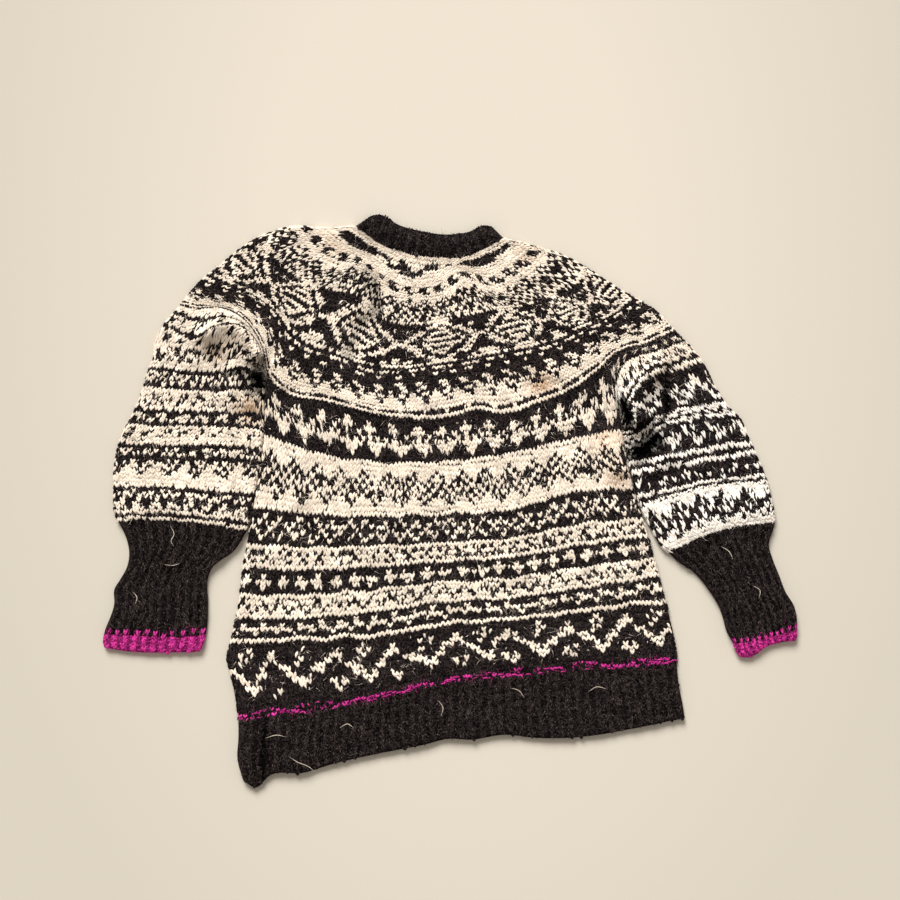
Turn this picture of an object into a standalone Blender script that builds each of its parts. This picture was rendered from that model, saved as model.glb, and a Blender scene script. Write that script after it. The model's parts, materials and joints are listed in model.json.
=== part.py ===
"""Nordic yoke sweater in thick wool, laid flat on a surface with its front up.

Metres, +Z up. The sweater rests on Z = 0 with its neck towards +Y. Left and right
are those of someone who looks down at it. Each knitted tube is two walls, a front
and a back, that meet half way up its side folds. A wall is a grid of outer points
over a grid of inner points: rows run across it, columns run down it.
"""

import bpy
import numpy as np

# Driving dimensions in metres.
SQUARE = 0.012  # one square of the layout grid that the lines and rows are given on
WALL = 0.003  # knitted cloth
AIR = 0.002  # between a back wall and the front wall that lies on it
SEAM = 0.0005  # gap between pieces that are joined, and between walls at a side fold
MOST_RISE_INSIDE = 0.0017  # a front wall's inside follows its folds up to here
THIN = 0.7  # share of the wall's thickness that is left at the bottom of a pit
END_ROUND = 0.003  # how far in from an open end the wall thins
END_DROP = 0.0012  # how much it thins there
RIB_RISE = 0.0013  # ribs stand this far above the grooves between them
RIB_STEPS = 3  # points across one rib

MIDDLE = WALL + AIR / 2  # height of the side folds' middle
FOLD_RADIUS = MIDDLE  # outside radius of a side fold
FRONT_TOP = 2 * MIDDLE
FOLD_ANGLES = (0.0, 45.0, 90.0)  # steps round a side fold, from its middle up

HEM_RIBS = 46
CUFF_RIBS = 11
NECK_RIBS = 15

# Points that lines are read from, and the grid's columns and rows.
LINE_POINTS = 600
FOLD_POINTS = 30
CLEAR_OF_FOLD = 1.3  # the columns between the side folds start this many radii in
SLEEVE_COLUMNS = 9
BODY_COLUMNS_FRONT = 28
BODY_COLUMNS_BACK = 22
ROWS_FRONT = {"yoke": 9, "body": 13, "sleeve": 14}
ROWS_BACK = {"yoke": 5, "body": 7, "sleeve": 8}
CUFF_ROWS = 5
STRIPE_COLUMNS = 46
SHARP_DEG = 50

# Share of rows, from the yoke's rim down, over which a side fold forms on the front.
BODY_FOLD_FORMS = (0.12, 0.22)
SLEEVE_FOLD_FORMS = (0.3, 0.4)

# Outline and seam lines in squares, x to the right and y towards the neck.
NECK_TOP = [(-8.4, 28.2), (-7.2, 28.6), (-5.0, 27.5), (-2.7, 26.9), (-0.4, 26.6),
            (2.0, 26.9), (3.3, 27.5), (4.3, 27.4)]
NECK_SEAM = [(-9.5, 27.5), (-8.0, 26.3), (-6.0, 25.2), (-2.7, 24.4), (-0.5, 24.3),
             (1.3, 24.3), (3.1, 25.0), (5.4, 26.3)]
SHOULDER_LEFT = [(-9.5, 27.5), (-12.0, 27.3), (-16.0, 27.4), (-18.9, 26.5),
                 (-20.6, 25.5), (-22.7, 23.8), (-25.6, 21.3), (-27.0, 19.5)]
SHOULDER_RIGHT = [(5.4, 26.3), (8.5, 25.5), (11.0, 24.7), (13.5, 23.4),
                  (16.0, 21.8), (18.3, 20.4), (20.2, 19.3), (21.9, 17.7), (22.6, 16.9)]
YOKE_RIM = [(-27.0, 19.5), (-25.2, 19.1), (-23.2, 19.3), (-21.0, 18.5), (-19.3, 16.6),
            (-18.5, 14.5), (-18.3, 12.7), (-17.4, 11.2), (-15.7, 10.2), (-13.0, 9.9),
            (-10.5, 9.2), (-7.0, 8.3), (-2.7, 7.8), (0.5, 8.3), (3.0, 8.8), (4.8, 8.3),
            (9.0, 9.6), (11.5, 10.5), (13.5, 11.8), (15.3, 13.2), (16.5, 14.5),
            (18.0, 15.2), (19.6, 15.5), (21.2, 16.2), (22.6, 16.9)]
PIT_LEFT = (-18.3, 12.6)  # where the body's left side leaves the yoke's rim
PIT_RIGHT = (15.9, 13.9)
SIDE_LEFT = [(-18.3, 12.6), (-18.4, 10.1), (-18.5, 7.1), (-18.8, 4.1), (-19.4, 0.6),
             (-20.0, -2.5), (-20.4, -4.7), (-20.8, -7.4), (-21.2, -10.5), (-21.9, -13.9),
             (-22.3, -15.6), (-21.9, -17.4), (-21.5, -19.6), (-21.2, -21.2)]
SIDE_RIGHT = [(15.9, 13.9), (16.2, 11.6), (16.8, 9.1), (17.2, 6.6), (17.8, 3.3),
              (18.5, 0.6), (19.3, -1.8), (20.1, -4.5), (20.9, -7.4), (21.6, -10.1),
              (22.3, -13.3), (22.7, -15.6)]
HEM_SIDE_LEFT = [(-21.2, -21.8), (-21.2, -23.6), (-21.3, -25.8), (-20.8, -27.7)]
HEM_SIDE_RIGHT = [(22.7, -16.2), (22.9, -18.3), (23.3, -20.3), (23.5, -21.6)]
SLEEVE_OUT_LEFT = [(-27.0, 19.5), (-28.7, 17.5), (-29.4, 16.1), (-29.7, 14.2),
                   (-30.2, 12.9), (-30.7, 11.2), (-31.7, 8.7), (-32.7, 6.8),
                   (-33.3, 5.0), (-33.6, 2.6), (-33.6, 1.0), (-33.5, -1.2), (-33.2, -2.0)]
SLEEVE_OUT_RIGHT = [(22.6, 16.9), (24.8, 14.5), (25.5, 13.4), (26.3, 11.8), (27.6, 9.7),
                    (29.0, 8.2), (29.9, 6.3), (30.7, 4.4), (31.5, 2.6), (32.0, 0.7),
                    (32.4, -1.4), (32.5, -2.1)]
SLEEVE_IN_LEFT = [(-18.3, 12.6), (-18.5, 10.1), (-18.6, 7.1), (-18.9, 4.1), (-19.5, 0.6),
                  (-20.2, -2.9)]
SLEEVE_IN_RIGHT = [(15.9, 13.9), (16.3, 11.6), (16.9, 9.1), (17.3, 6.6), (17.9, 3.3),
                   (18.6, 0.6), (19.6, -1.9), (20.4, -3.4), (21.1, -4.6), (21.8, -5.2)]
CUFF_OUT_LEFT = [(-33.2, -2.0), (-32.3, -4.0), (-32.1, -5.2), (-32.3, -6.5),
                 (-33.0, -7.8), (-33.6, -8.8), (-33.6, -10.3), (-34.0, -11.6),
                 (-34.5, -12.8), (-34.6, -13.2)]
CUFF_IN_LEFT = [(-20.2, -2.9), (-20.8, -4.0), (-21.7, -5.2), (-22.9, -6.0), (-23.7, -6.7),
                (-24.1, -7.7), (-24.1, -10.1), (-24.2, -12.6), (-24.3, -13.3)]
CUFF_OUT_RIGHT = [(32.5, -2.1), (32.3, -3.0), (31.9, -4.2), (32.3, -5.8), (32.9, -7.3),
                  (33.6, -9.1), (34.4, -10.4), (34.7, -11.6), (34.7, -12.8)]
CUFF_IN_RIGHT = [(21.8, -5.2), (22.7, -6.1), (24.1, -7.0), (25.0, -7.9), (25.9, -9.1),
                 (26.7, -10.4), (27.2, -11.7), (27.5, -12.9), (28.2, -14.2)]
CUFF_END_LEFT = [(-34.6, -13.2), (-31.0, -13.4), (-27.5, -13.5), (-24.3, -13.3)]
CUFF_END_RIGHT = [(28.2, -14.2), (30.5, -13.9), (32.5, -13.4), (34.7, -12.8)]
EDGE_OUT_LEFT = [(-34.6, -13.2), (-34.74, -14.0), (-34.6, -14.6)]
EDGE_IN_LEFT = [(-24.3, -13.3), (-24.5, -14.2), (-24.9, -15.0)]
EDGE_OUT_RIGHT = [(34.7, -12.8), (34.7, -13.4), (34.6, -13.9)]
EDGE_IN_RIGHT = [(28.2, -14.2), (28.5, -15.0), (29.0, -15.6)]
EDGE_END_LEFT = [(-34.6, -14.6), (-32.0, -15.0), (-28.0, -15.1), (-24.9, -15.0)]
EDGE_END_RIGHT = [(29.0, -15.6), (30.3, -15.4), (31.6, -14.5), (33.0, -14.1),
                  (34.6, -13.9)]

# Heights of the body's rows at stations across it, in squares.
BODY_STATIONS = (-15.0, -8.0, -1.0, 6.0, 12.0)
BODY_ROWS = [
    # share of rows down, height at the left side, at the stations, at the right side
    (0.15, 6.5, (5.2, 3.9, 3.8, 4.7, 6.0), 7.1),
    (0.34, -0.7, (-1.3, -1.5, -1.4, -0.9, 0.7), 1.2),
    (0.53, -6.6, (-6.9, -6.5, -6.1, -5.5, -4.5), -3.5),
    (0.69, -11.6, (-11.7, -11.0, -10.0, -9.6, -8.7), -7.5),
    (0.79, -14.2, (-14.0, -13.6, -12.5, -11.9, -11.2), -10.1),
]
STRIPE_TOP = (-21.2, (-20.5, -19.4, -17.7, -16.9, -16.4), -15.6)
STRIPE_WIDTH = 0.6
HEM_BOTTOM = [(-20.8, -27.7), (-19.4, -28.6), (-17.9, -27.3), (-14.7, -27.1),
              (-11.6, -26.2), (-7.2, -25.2), (-2.6, -24.3), (0.0, -23.7), (2.0, -23.8),
              (5.6, -23.3), (8.3, -23.6), (13.3, -23.5), (18.2, -22.7), (23.5, -21.6)]

# Yoke rings between the neck seam and the rim, in squares: share of rows down, line.
YOKE_RINGS = [
    (0.21, [(-14.0, 27.4), (-11.4, 25.1), (-8.8, 24.2), (-6.5, 22.4), (-4.0, 21.3),
            (-1.5, 21.5), (1.2, 22.9), (4.0, 22.4), (6.5, 23.7), (8.4, 25.5)]),
    (0.36, [(-16.6, 27.3), (-15.0, 25.1), (-12.5, 23.0), (-9.8, 22.8), (-8.0, 22.5),
            (-6.4, 20.3), (-3.8, 19.6), (-1.0, 19.8), (2.0, 21.1), (4.6, 20.5),
            (7.0, 21.5), (9.3, 22.9), (10.8, 24.8)]),
    (0.45, [(-18.9, 26.5), (-17.2, 24.3), (-15.0, 22.3), (-11.5, 21.3), (-8.8, 20.3),
            (-6.5, 18.3), (-3.5, 17.8), (0.0, 18.3), (3.5, 19.2), (6.5, 19.5),
            (9.5, 20.3), (12.2, 21.7), (13.6, 23.4)]),
    (0.75, [(-25.6, 21.3), (-22.8, 20.5), (-20.0, 19.5), (-17.8, 17.3), (-16.6, 14.9),
            (-14.5, 13.5), (-11.5, 12.7), (-8.0, 11.7), (-2.5, 11.9), (3.0, 12.7),
            (8.5, 13.7), (12.0, 14.9), (14.8, 16.5), (17.5, 17.6), (20.2, 19.3)]),
]

# Sleeve rows from the rim down, in squares: share of rows down, line. The upper ones
# run over the roll at the underarm and sink together into the pit beside it.
SLEEVE_ROWS_LEFT = [
    (0.15, [(-28.8, 17.2), (-27.0, 16.3), (-25.0, 16.0), (-23.9, 16.9), (-22.2, 17.4),
            (-20.4, 17.0), (-19.2, 15.6), (-18.4, 12.4)]),
    (0.20, [(-29.5, 15.4), (-27.2, 15.5), (-25.0, 15.2), (-23.8, 15.6), (-22.6, 16.0),
            (-21.0, 15.8), (-19.8, 14.9), (-18.4, 12.2)]),
    (0.31, [(-30.1, 13.2), (-28.0, 13.0), (-25.9, 12.7), (-23.4, 12.7), (-21.8, 13.0),
            (-20.4, 13.2), (-19.6, 12.9), (-18.3, 11.9)]),
    (0.42, [(-30.8, 10.9), (-28.4, 10.6), (-25.3, 10.4), (-22.1, 10.4), (-20.5, 10.5),
            (-18.4, 10.8)]),
    (0.51, [(-31.5, 9.0), (-27.8, 8.6), (-24.6, 8.6), (-21.4, 8.5), (-20.0, 8.4),
            (-18.5, 8.1)]),
    (0.60, [(-32.6, 7.0), (-27.2, 6.8), (-23.4, 6.8), (-20.2, 6.7), (-18.6, 6.4)]),
    (0.77, [(-33.5, 3.7), (-27.2, 3.5), (-23.4, 3.4), (-19.0, 3.1)]),
    (0.90, [(-33.6, 1.2), (-28.5, 1.1), (-24.0, 0.7), (-19.6, 0.4)]),
]
CUFF_SEAM_LEFT = [(-33.2, -2.0), (-30.0, -1.9), (-27.0, -2.0), (-23.7, -2.4),
                  (-20.2, -2.9)]
SLEEVE_ROWS_RIGHT = [
    (0.10, [(23.4, 15.6), (21.5, 14.9), (19.5, 14.4), (18.0, 13.9), (16.8, 12.3),
            (16.5, 10.4)]),
    (0.19, [(24.0, 14.0), (21.7, 13.2), (20.0, 13.0), (18.4, 11.8), (17.5, 10.1),
            (17.1, 8.1)]),
    (0.29, [(25.7, 11.9), (21.7, 10.9), (20.5, 11.0), (19.0, 9.9), (18.0, 8.3),
            (17.2, 7.3)]),
    (0.39, [(27.2, 9.9), (21.6, 8.8), (20.5, 8.4), (19.5, 7.4), (18.6, 6.7),
            (17.3, 6.5)]),
    (0.48, [(28.5, 8.5), (21.4, 7.3), (20.6, 6.9), (19.8, 6.1), (19.0, 5.5),
            (17.5, 5.4)]),
    (0.59, [(29.9, 6.0), (26.3, 5.4), (24.0, 5.0), (22.0, 4.6), (20.0, 4.3),
            (17.8, 3.8)]),
    (0.73, [(31.2, 2.9), (27.8, 2.5), (24.8, 2.1), (21.7, 1.4), (18.4, 0.9)]),
    (0.83, [(31.7, 1.2), (27.8, 1.1), (24.8, 0.6), (22.0, -0.3), (19.3, -1.4)]),
    (0.93, [(32.3, -0.9), (29.4, -1.3), (26.3, -1.8), (24.0, -2.6), (22.0, -3.5),
            (20.7, -3.9)]),
]
CUFF_SEAM_RIGHT = [(32.5, -2.1), (29.4, -2.4), (27.1, -2.9), (24.8, -3.7), (23.2, -4.4),
                   (21.8, -5.2)]

# Folds on the front. Widths and lines in squares, heights in metres.
FOLDS = [
    # half width, height, line along the fold
    (0.90, 0.0035, [(-8.3, 27.9), (-7.4, 27.5), (-5.5, 26.3), (-2.7, 25.6), (-0.4, 25.4),
                    (1.7, 25.7), (3.2, 26.3), (4.5, 26.9)]),
    (1.25, 0.017, [(-24.3, 16.4), (-22.8, 17.5), (-21.0, 17.2), (-19.6, 15.8),
                   (-19.0, 14.6)]),
    (0.55, -0.006, [(-24.2, 15.8), (-23.4, 14.4), (-22.7, 13.6)]),
    (1.00, 0.008, [(-17.2, 13.6), (-16.9, 11.6)]),
    (0.90, 0.006, [(-21.4, 11.3), (-19.9, 9.9)]),
    (0.80, -0.022, [(-19.3, 13.0), (-19.2, 11.9)]),
    (1.30, 0.019, [(20.4, 13.0), (18.9, 11.9), (18.4, 9.9), (18.9, 8.0)]),
    (0.50, -0.008, [(21.8, 13.2), (21.8, 10.8), (21.3, 7.6)]),
    (1.00, 0.007, [(16.2, 5.0), (17.0, 3.2)]),
    (0.85, 0.006, [(22.0, 4.4), (20.0, 3.0)]),
    (0.95, -0.022, [(18.4, 4.9), (19.8, 5.8)]),
    (0.80, -0.003, [(-7.6, 22.0), (-7.1, 19.0), (-9.6, 17.0), (-10.3, 14.2)]),
    (1.30, 0.003, [(-8.9, 21.6), (-8.5, 19.2)]),
    (1.20, 0.003, [(-11.4, 9.7), (-8.5, 9.6), (-4.0, 8.6)]),
    (0.90, -0.002, [(-9.8, 10.6), (-10.6, 8.2)]),
    (1.20, -0.004, [(8.0, 12.4), (10.8, 10.2), (14.0, 7.8)]),
    (1.60, 0.003, [(9.6, 13.4), (13.6, 13.2)]),
    (1.80, 0.005, [(-32.0, -0.4), (-27.0, -0.4), (-21.8, -1.2)]),
    (1.60, 0.005, [(30.8, -0.8), (26.2, -1.6), (22.4, -3.2)]),
    (1.40, 0.003, [(-19.8, -20.0), (-7.0, -17.9), (3.0, -15.8), (21.0, -14.8)]),
    (0.90, 0.004, [(-20.2, -22.6), (-20.1, -27.0)]),
    (0.50, -0.002, [(-19.0, -22.2), (-18.9, -27.0)]),
]

# Base colours of the yarns, linear, as they look in daylight.
CHARCOAL = (0.022, 0.018, 0.018, 1.0)
CREAM = (0.82, 0.73, 0.56, 1.0)
MAGENTA = (0.42, 0.008, 0.22, 1.0)


def clear_scene():
    for old in list(bpy.data.objects):
        bpy.data.objects.remove(old, do_unlink=True)


def glide(at, knots, values, level_peaks):
    """Smooth values between knots. With level_peaks they never pass the knots' own range."""
    knots = np.asarray(knots, float)
    values = np.asarray(values, float)
    wide = (-1,) + (1,) * (values.ndim - 1)
    steps = np.diff(knots).reshape(wide)
    slopes = np.diff(values, axis=0) / steps
    tangents = np.concatenate([slopes[:1], slopes[:1], slopes[1:]])[: len(knots)]
    tangents[-1] = slopes[-1]
    before, after = slopes[:-1], slopes[1:]
    if level_peaks:
        same_way = before * after > 0
        safe = np.where(same_way, before + after, 1.0)
        tangents[1:-1] = np.where(same_way, 2 * before * after / safe, 0.0)
    else:
        tangents[1:-1] = (before * steps[1:] + after * steps[:-1]) / (steps[1:] + steps[:-1])
    at = np.clip(np.asarray(at, float), knots[0], knots[-1])
    span = np.clip(np.searchsorted(knots, at, side="right") - 1, 0, len(knots) - 2)
    share = ((at - knots[span]) / np.diff(knots)[span]).reshape((-1,) + (1,) * (values.ndim - 1))
    step = steps[span]
    return (
        values[span] * (2 * share**3 - 3 * share**2 + 1)
        + tangents[span] * step * (share**3 - 2 * share**2 + share)
        + values[span + 1] * (3 * share**2 - 2 * share**3)
        + tangents[span + 1] * step * (share**3 - share**2)
    )


class Line:
    """A smooth line in metres, read by shares of its length."""

    def __init__(self, metres):
        chords = np.linalg.norm(np.diff(metres, axis=0), axis=1)
        knots = np.concatenate([[0.0], np.cumsum(chords)])
        self.dense = glide(np.linspace(0, knots[-1], LINE_POINTS), knots, metres, False)
        runs = np.linalg.norm(np.diff(self.dense, axis=0), axis=1)
        self.length = runs.sum()
        self.shares = np.concatenate([[0.0], np.cumsum(runs)]) / self.length

    def at(self, share):
        return np.stack([np.interp(share, self.shares, self.dense[:, k]) for k in (0, 1)], -1)

    def share_of(self, point):
        return self.shares[np.linalg.norm(self.dense - point, axis=1).argmin()]

    def part(self, first, last):
        return Line(self.at(np.linspace(first, last, LINE_POINTS // 10)))


def line(squares):
    return Line(np.array(squares, float) * SQUARE)


class Panel:
    """A piece of cloth between a left and a right side line, with rows given from the
    neck down. at(across, down) gives the points of a grid, rows first."""

    def __init__(self, left, right, rows):
        self.left = left
        self.right = right
        self.down = np.array([share for share, _ in rows])
        self.rows = [row for _, row in rows]
        self.left_shares = [left.share_of(row.at(0.0)) for row in self.rows]
        self.right_shares = [right.share_of(row.at(1.0)) for row in self.rows]

    def at(self, across, down):
        across = np.asarray(across, float)
        bows = []
        for row in self.rows:
            first, last = row.at(0.0), row.at(1.0)
            bows.append(row.at(across) - first - across[:, None] * (last - first))
        first = self.left.at(glide(down, self.down, self.left_shares, True))
        last = self.right.at(glide(down, self.down, self.right_shares, True))
        chord = first[:, None] + across[None, :, None] * (last - first)[:, None]
        return chord + glide(down, self.down, np.array(bows), True)

    def width(self):
        return float(np.mean([row.length for row in self.rows]))


def simple_panel(top, bottom, left, right):
    return Panel(left, right, [(0.0, top), (1.0, bottom)])


def body_row(left_side, right_side, heights):
    """A row of the body or the rib under it, from its heights in squares."""
    at_left, between, at_right = heights
    ends = []
    for side, height in ((left_side, at_left), (right_side, at_right)):
        x = np.interp(-height * SQUARE, -side.dense[:, 1], side.dense[:, 0])
        ends.append((x / SQUARE, height))
    return line([ends[0], *zip(BODY_STATIONS, between), ends[1]])


def lift(points):
    """Height of the front's folds over its plain level, at points in metres."""
    up = np.zeros(points.shape[:-1])
    for half_width, height, along in FOLDS:
        spine = line(along).dense[:: LINE_POINTS // FOLD_POINTS]
        away = np.linalg.norm(points[..., None, :] - spine, axis=-1).min(axis=-1)
        up = up + height * np.exp(-((away / (half_width * SQUARE)) ** 2))
    return up


def smooth_step(low, high, value):
    share = np.clip((value - low) / (high - low), 0, 1)
    return share * share * (3 - 2 * share)


def across_shares(width, between):
    """Columns of the outer and the inner points: steps round each side fold, and the
    ones between them."""
    angles = np.radians(FOLD_ANGLES)
    outer = FOLD_RADIUS * (1 - np.cos(angles)) / width
    inner = (WALL + (FOLD_RADIUS - WALL) * (1 - np.cos(angles))) / width
    between = np.asarray(between)
    clear = outer[-1] * CLEAR_OF_FOLD
    between = between[(between > clear) & (between < 1 - clear)]
    turned = np.concatenate([np.sin(angles), np.ones(len(between)), np.sin(angles)[::-1]])
    return (
        np.concatenate([outer, between, 1 - outer[::-1]]),
        np.concatenate([inner, between, 1 - inner[::-1]]),
        turned,
    )


def part_seams(points, at_top, at_bottom):
    """Moves the first and last rows of a grid in by half a seam."""
    for joined, edge, inside in ((at_top, 0, 1), (at_bottom, -1, -2)):
        if joined:
            way = points[inside] - points[edge]
            points[edge] += way / np.linalg.norm(way, axis=-1, keepdims=True) * SEAM / 2
    return points


def mesh_of(name, outer, inner, outward_up):
    """One closed wall from its grids of outer and inner points."""
    rows, columns = outer.shape[:2]
    count = rows * columns
    points = np.concatenate([outer.reshape(-1, 3), inner.reshape(-1, 3)])
    faces = []
    for r in range(rows - 1):
        for c in range(columns - 1):
            a = r * columns + c
            quad = (a, a + columns, a + columns + 1, a + 1)
            faces.append(quad)
            faces.append(tuple(count + k for k in reversed(quad)))
    rim = [c for c in range(columns)]
    rim += [r * columns + columns - 1 for r in range(1, rows)]
    rim += [(rows - 1) * columns + c for c in range(columns - 2, -1, -1)]
    rim += [r * columns for r in range(rows - 2, 0, -1)]
    for a, b in zip(rim, rim[1:] + rim[:1]):
        faces.append((a, b, count + b, count + a))
    if not outward_up:
        faces = [tuple(reversed(face)) for face in faces]
    mesh = bpy.data.meshes.new(name)
    mesh.from_pydata(points.tolist(), [], faces)
    mesh.validate()
    mesh.shade_smooth()
    mesh.set_sharp_from_angle(angle=np.radians(SHARP_DEG))
    return mesh


def add_wall(name, outer, inner, material, outward_up):
    piece = bpy.data.objects.new(name, mesh_of(name, outer, inner, outward_up))
    piece.data.materials.append(material)
    bpy.data.collections["nordic_yoke_sweater"].objects.link(piece)
    return piece


def add_front(name, panel, between, down, material, ends=(False, False), ribs=0, forms=(0, 0)):
    """A front wall. ends says whether the top and the bottom are open ends. forms is the
    share of rows over which the left and right side folds form, where the top of the
    side runs on into the yoke."""
    across, across_inside, turned = across_shares(panel.width(), between)
    flat = part_seams(panel.at(across, down), not ends[0], not ends[1])
    flat_inside = part_seams(panel.at(across_inside, down), not ends[0], not ends[1])
    up = lift(flat)
    top = FRONT_TOP + up
    middle = MIDDLE + SEAM / 2
    inside = np.maximum(WALL + AIR + np.minimum(up, MOST_RISE_INSIDE), middle)
    top = np.maximum(top, inside + THIN * WALL)
    if ribs:
        wave = 0.5 + 0.5 * np.cos(2 * np.pi * ribs * (across - 0.5 / ribs))
        top = top + RIB_RISE * wave * (turned > 0.99)
    down = np.asarray(down)
    length = np.linalg.norm(flat[-1] - flat[0], axis=-1).mean()
    for open_end, from_end in ((ends[0], down), (ends[1], 1 - down)):
        if open_end:
            thin = 1 - smooth_step(0, END_ROUND / length, from_end)
            top = top - END_DROP * thin[:, None]
    formed = np.ones_like(top)
    half = len(across) // 2
    for rows_to_form, columns in ((forms[0], slice(0, half)), (forms[1], slice(half, None))):
        if rows_to_form:
            formed[:, columns] = smooth_step(0, rows_to_form, down)[:, None]
    turn = 1 - formed * (1 - turned)
    outer = np.dstack([flat, middle + (top - middle) * turn])
    inner = np.dstack([flat_inside, middle + (inside - middle) * turn])
    return add_wall(name, outer, inner, material, True)


def add_back(name, panel, between, down, material, ends=(False, False)):
    """A back wall, flat on the surface between its side folds."""
    across, across_inside, turned = across_shares(panel.width(), between)
    flat = part_seams(panel.at(across, down), not ends[0], not ends[1])
    flat_inside = part_seams(panel.at(across_inside, down), not ends[0], not ends[1])
    middle = MIDDLE - SEAM / 2
    under = np.broadcast_to(middle * (1 - turned), flat.shape[:2])
    inside = np.broadcast_to(middle + (WALL - middle) * turned, flat.shape[:2])
    outer = np.dstack([flat, under])
    inner = np.dstack([flat_inside, inside])
    return add_wall(name, outer, inner, material, False)


def yarn(name, colour):
    material = bpy.data.materials.new(name)
    material.use_nodes = True
    shader = material.node_tree.nodes["Principled BSDF"]
    shader.inputs["Base Color"].default_value = colour
    shader.inputs["Roughness"].default_value = 0.9
    shader.inputs["Metallic"].default_value = 0.0
    return material


def even(count):
    return np.linspace(0, 1, count + 1)


def rib_columns(ribs):
    return even(ribs * RIB_STEPS)


def split_rim(rim, body_count):
    """Columns along the yoke's rim, so that the sleeves and the body below it start from
    the same points, and the shares where the body begins and ends."""
    begin = rim.share_of(np.array(PIT_LEFT) * SQUARE)
    end = rim.share_of(np.array(PIT_RIGHT) * SQUARE)
    runs = ((0.0, begin, SLEEVE_COLUMNS), (begin, end, body_count), (end, 1.0, SLEEVE_COLUMNS))
    columns = []
    for first, last, count in runs:
        steps = across_shares(rim.length * (last - first), even(count))[0]
        columns.extend(first + (last - first) * steps)
    return np.unique(np.round(columns, 6)), begin, end


def yoke_panel(rim):
    rows = [(0.0, line(NECK_SEAM))]
    rows += [(share, line(ring)) for share, ring in YOKE_RINGS]
    rows.append((1.0, rim))
    return Panel(line(SHOULDER_LEFT), line(SHOULDER_RIGHT), rows)


def body_panel(rim_part):
    left, right = line(SIDE_LEFT), line(SIDE_RIGHT)
    rows = [(0.0, rim_part)]
    for share, *heights in BODY_ROWS:
        rows.append((share, body_row(left, right, heights)))
    rows.append((1.0, body_row(left, right, STRIPE_TOP)))
    return Panel(left, right, rows)


def hem_lines():
    """The two edges of the stripe over the hem, as lines."""
    left, between, right = STRIPE_TOP
    lower = (left - STRIPE_WIDTH, [y - STRIPE_WIDTH for y in between], right - STRIPE_WIDTH)
    body_left, body_right = line(SIDE_LEFT), line(SIDE_RIGHT)
    hem_left, hem_right = line(HEM_SIDE_LEFT), line(HEM_SIDE_RIGHT)
    return body_row(body_left, body_right, STRIPE_TOP), body_row(hem_left, hem_right, lower)


def sleeve_panels(rim_left, rim_right):
    """Both sleeves. Their rows run from left to right in the panel, so the right
    sleeve's rows, which are given from the outside in, are turned round."""
    left_rows = [(0.0, rim_left)]
    left_rows += [(share, line(row)) for share, row in SLEEVE_ROWS_LEFT]
    left_rows.append((1.0, line(CUFF_SEAM_LEFT)))
    right_rows = [(0.0, rim_right)]
    right_rows += [(share, line(row[::-1])) for share, row in SLEEVE_ROWS_RIGHT]
    right_rows.append((1.0, line(CUFF_SEAM_RIGHT[::-1])))
    return (
        Panel(line(SLEEVE_OUT_LEFT), line(SLEEVE_IN_LEFT), left_rows),
        Panel(line(SLEEVE_IN_RIGHT), line(SLEEVE_OUT_RIGHT), right_rows),
    )


def add_neckband(wool):
    panel = simple_panel(
        line(NECK_TOP),
        line(NECK_SEAM),
        line([NECK_TOP[0], NECK_SEAM[0]]),
        line([NECK_TOP[-1], NECK_SEAM[-1]]),
    )
    rows = [0, 0.12, 0.5, 1]
    add_front("neckband_front", panel, rib_columns(NECK_RIBS), rows, wool, (True, False), NECK_RIBS)
    add_back("neckband_back", panel, even(NECK_RIBS), even(2), wool, (True, False))


def add_yoke_body_and_sleeves(cream):
    rim = line(YOKE_RIM)
    sleeve_columns = even(SLEEVE_COLUMNS)

    columns, begin, end = split_rim(rim, BODY_COLUMNS_FRONT)
    yoke = yoke_panel(rim)
    body = body_panel(rim.part(begin, end))
    left, right = sleeve_panels(rim.part(0.0, begin), rim.part(end, 1.0))
    rows = even(ROWS_FRONT["sleeve"])
    forms_left, forms_right = SLEEVE_FOLD_FORMS
    add_front("yoke_front", yoke, columns, even(ROWS_FRONT["yoke"]), cream)
    add_front("body_front", body, even(BODY_COLUMNS_FRONT), even(ROWS_FRONT["body"]), cream,
              forms=BODY_FOLD_FORMS)
    add_front("sleeve_left_front", left, sleeve_columns, rows, cream, forms=(0, forms_left))
    add_front("sleeve_right_front", right, sleeve_columns, rows, cream, forms=(forms_right, 0))

    columns = split_rim(rim, BODY_COLUMNS_BACK)[0]
    rows = even(ROWS_BACK["sleeve"])
    add_back("yoke_back", yoke, columns, even(ROWS_BACK["yoke"]), cream)
    add_back("body_back", body, even(BODY_COLUMNS_BACK), even(ROWS_BACK["body"]), cream)
    add_back("sleeve_left_back", left, sleeve_columns, rows, cream)
    add_back("sleeve_right_back", right, sleeve_columns, rows, cream)


def add_hem(wool, magenta):
    stripe_top, stripe_bottom = hem_lines()
    stripe = simple_panel(
        stripe_top,
        stripe_bottom,
        Line(np.array([stripe_top.at(0.0), stripe_bottom.at(0.0)])),
        Line(np.array([stripe_top.at(1.0), stripe_bottom.at(1.0)])),
    )
    rib = simple_panel(
        stripe_bottom, line(HEM_BOTTOM), line(HEM_SIDE_LEFT), line(HEM_SIDE_RIGHT)
    )
    columns = even(STRIPE_COLUMNS)
    add_front("hem_stripe_front", stripe, columns, even(1), magenta)
    add_back("hem_stripe_back", stripe, columns, even(1), magenta)
    rows = [0, 0.45, 0.95, 1]
    add_front("hem_rib_front", rib, rib_columns(HEM_RIBS), rows, wool, (False, True), HEM_RIBS)
    add_back("hem_rib_back", rib, columns, even(2), wool, (False, True))


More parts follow.
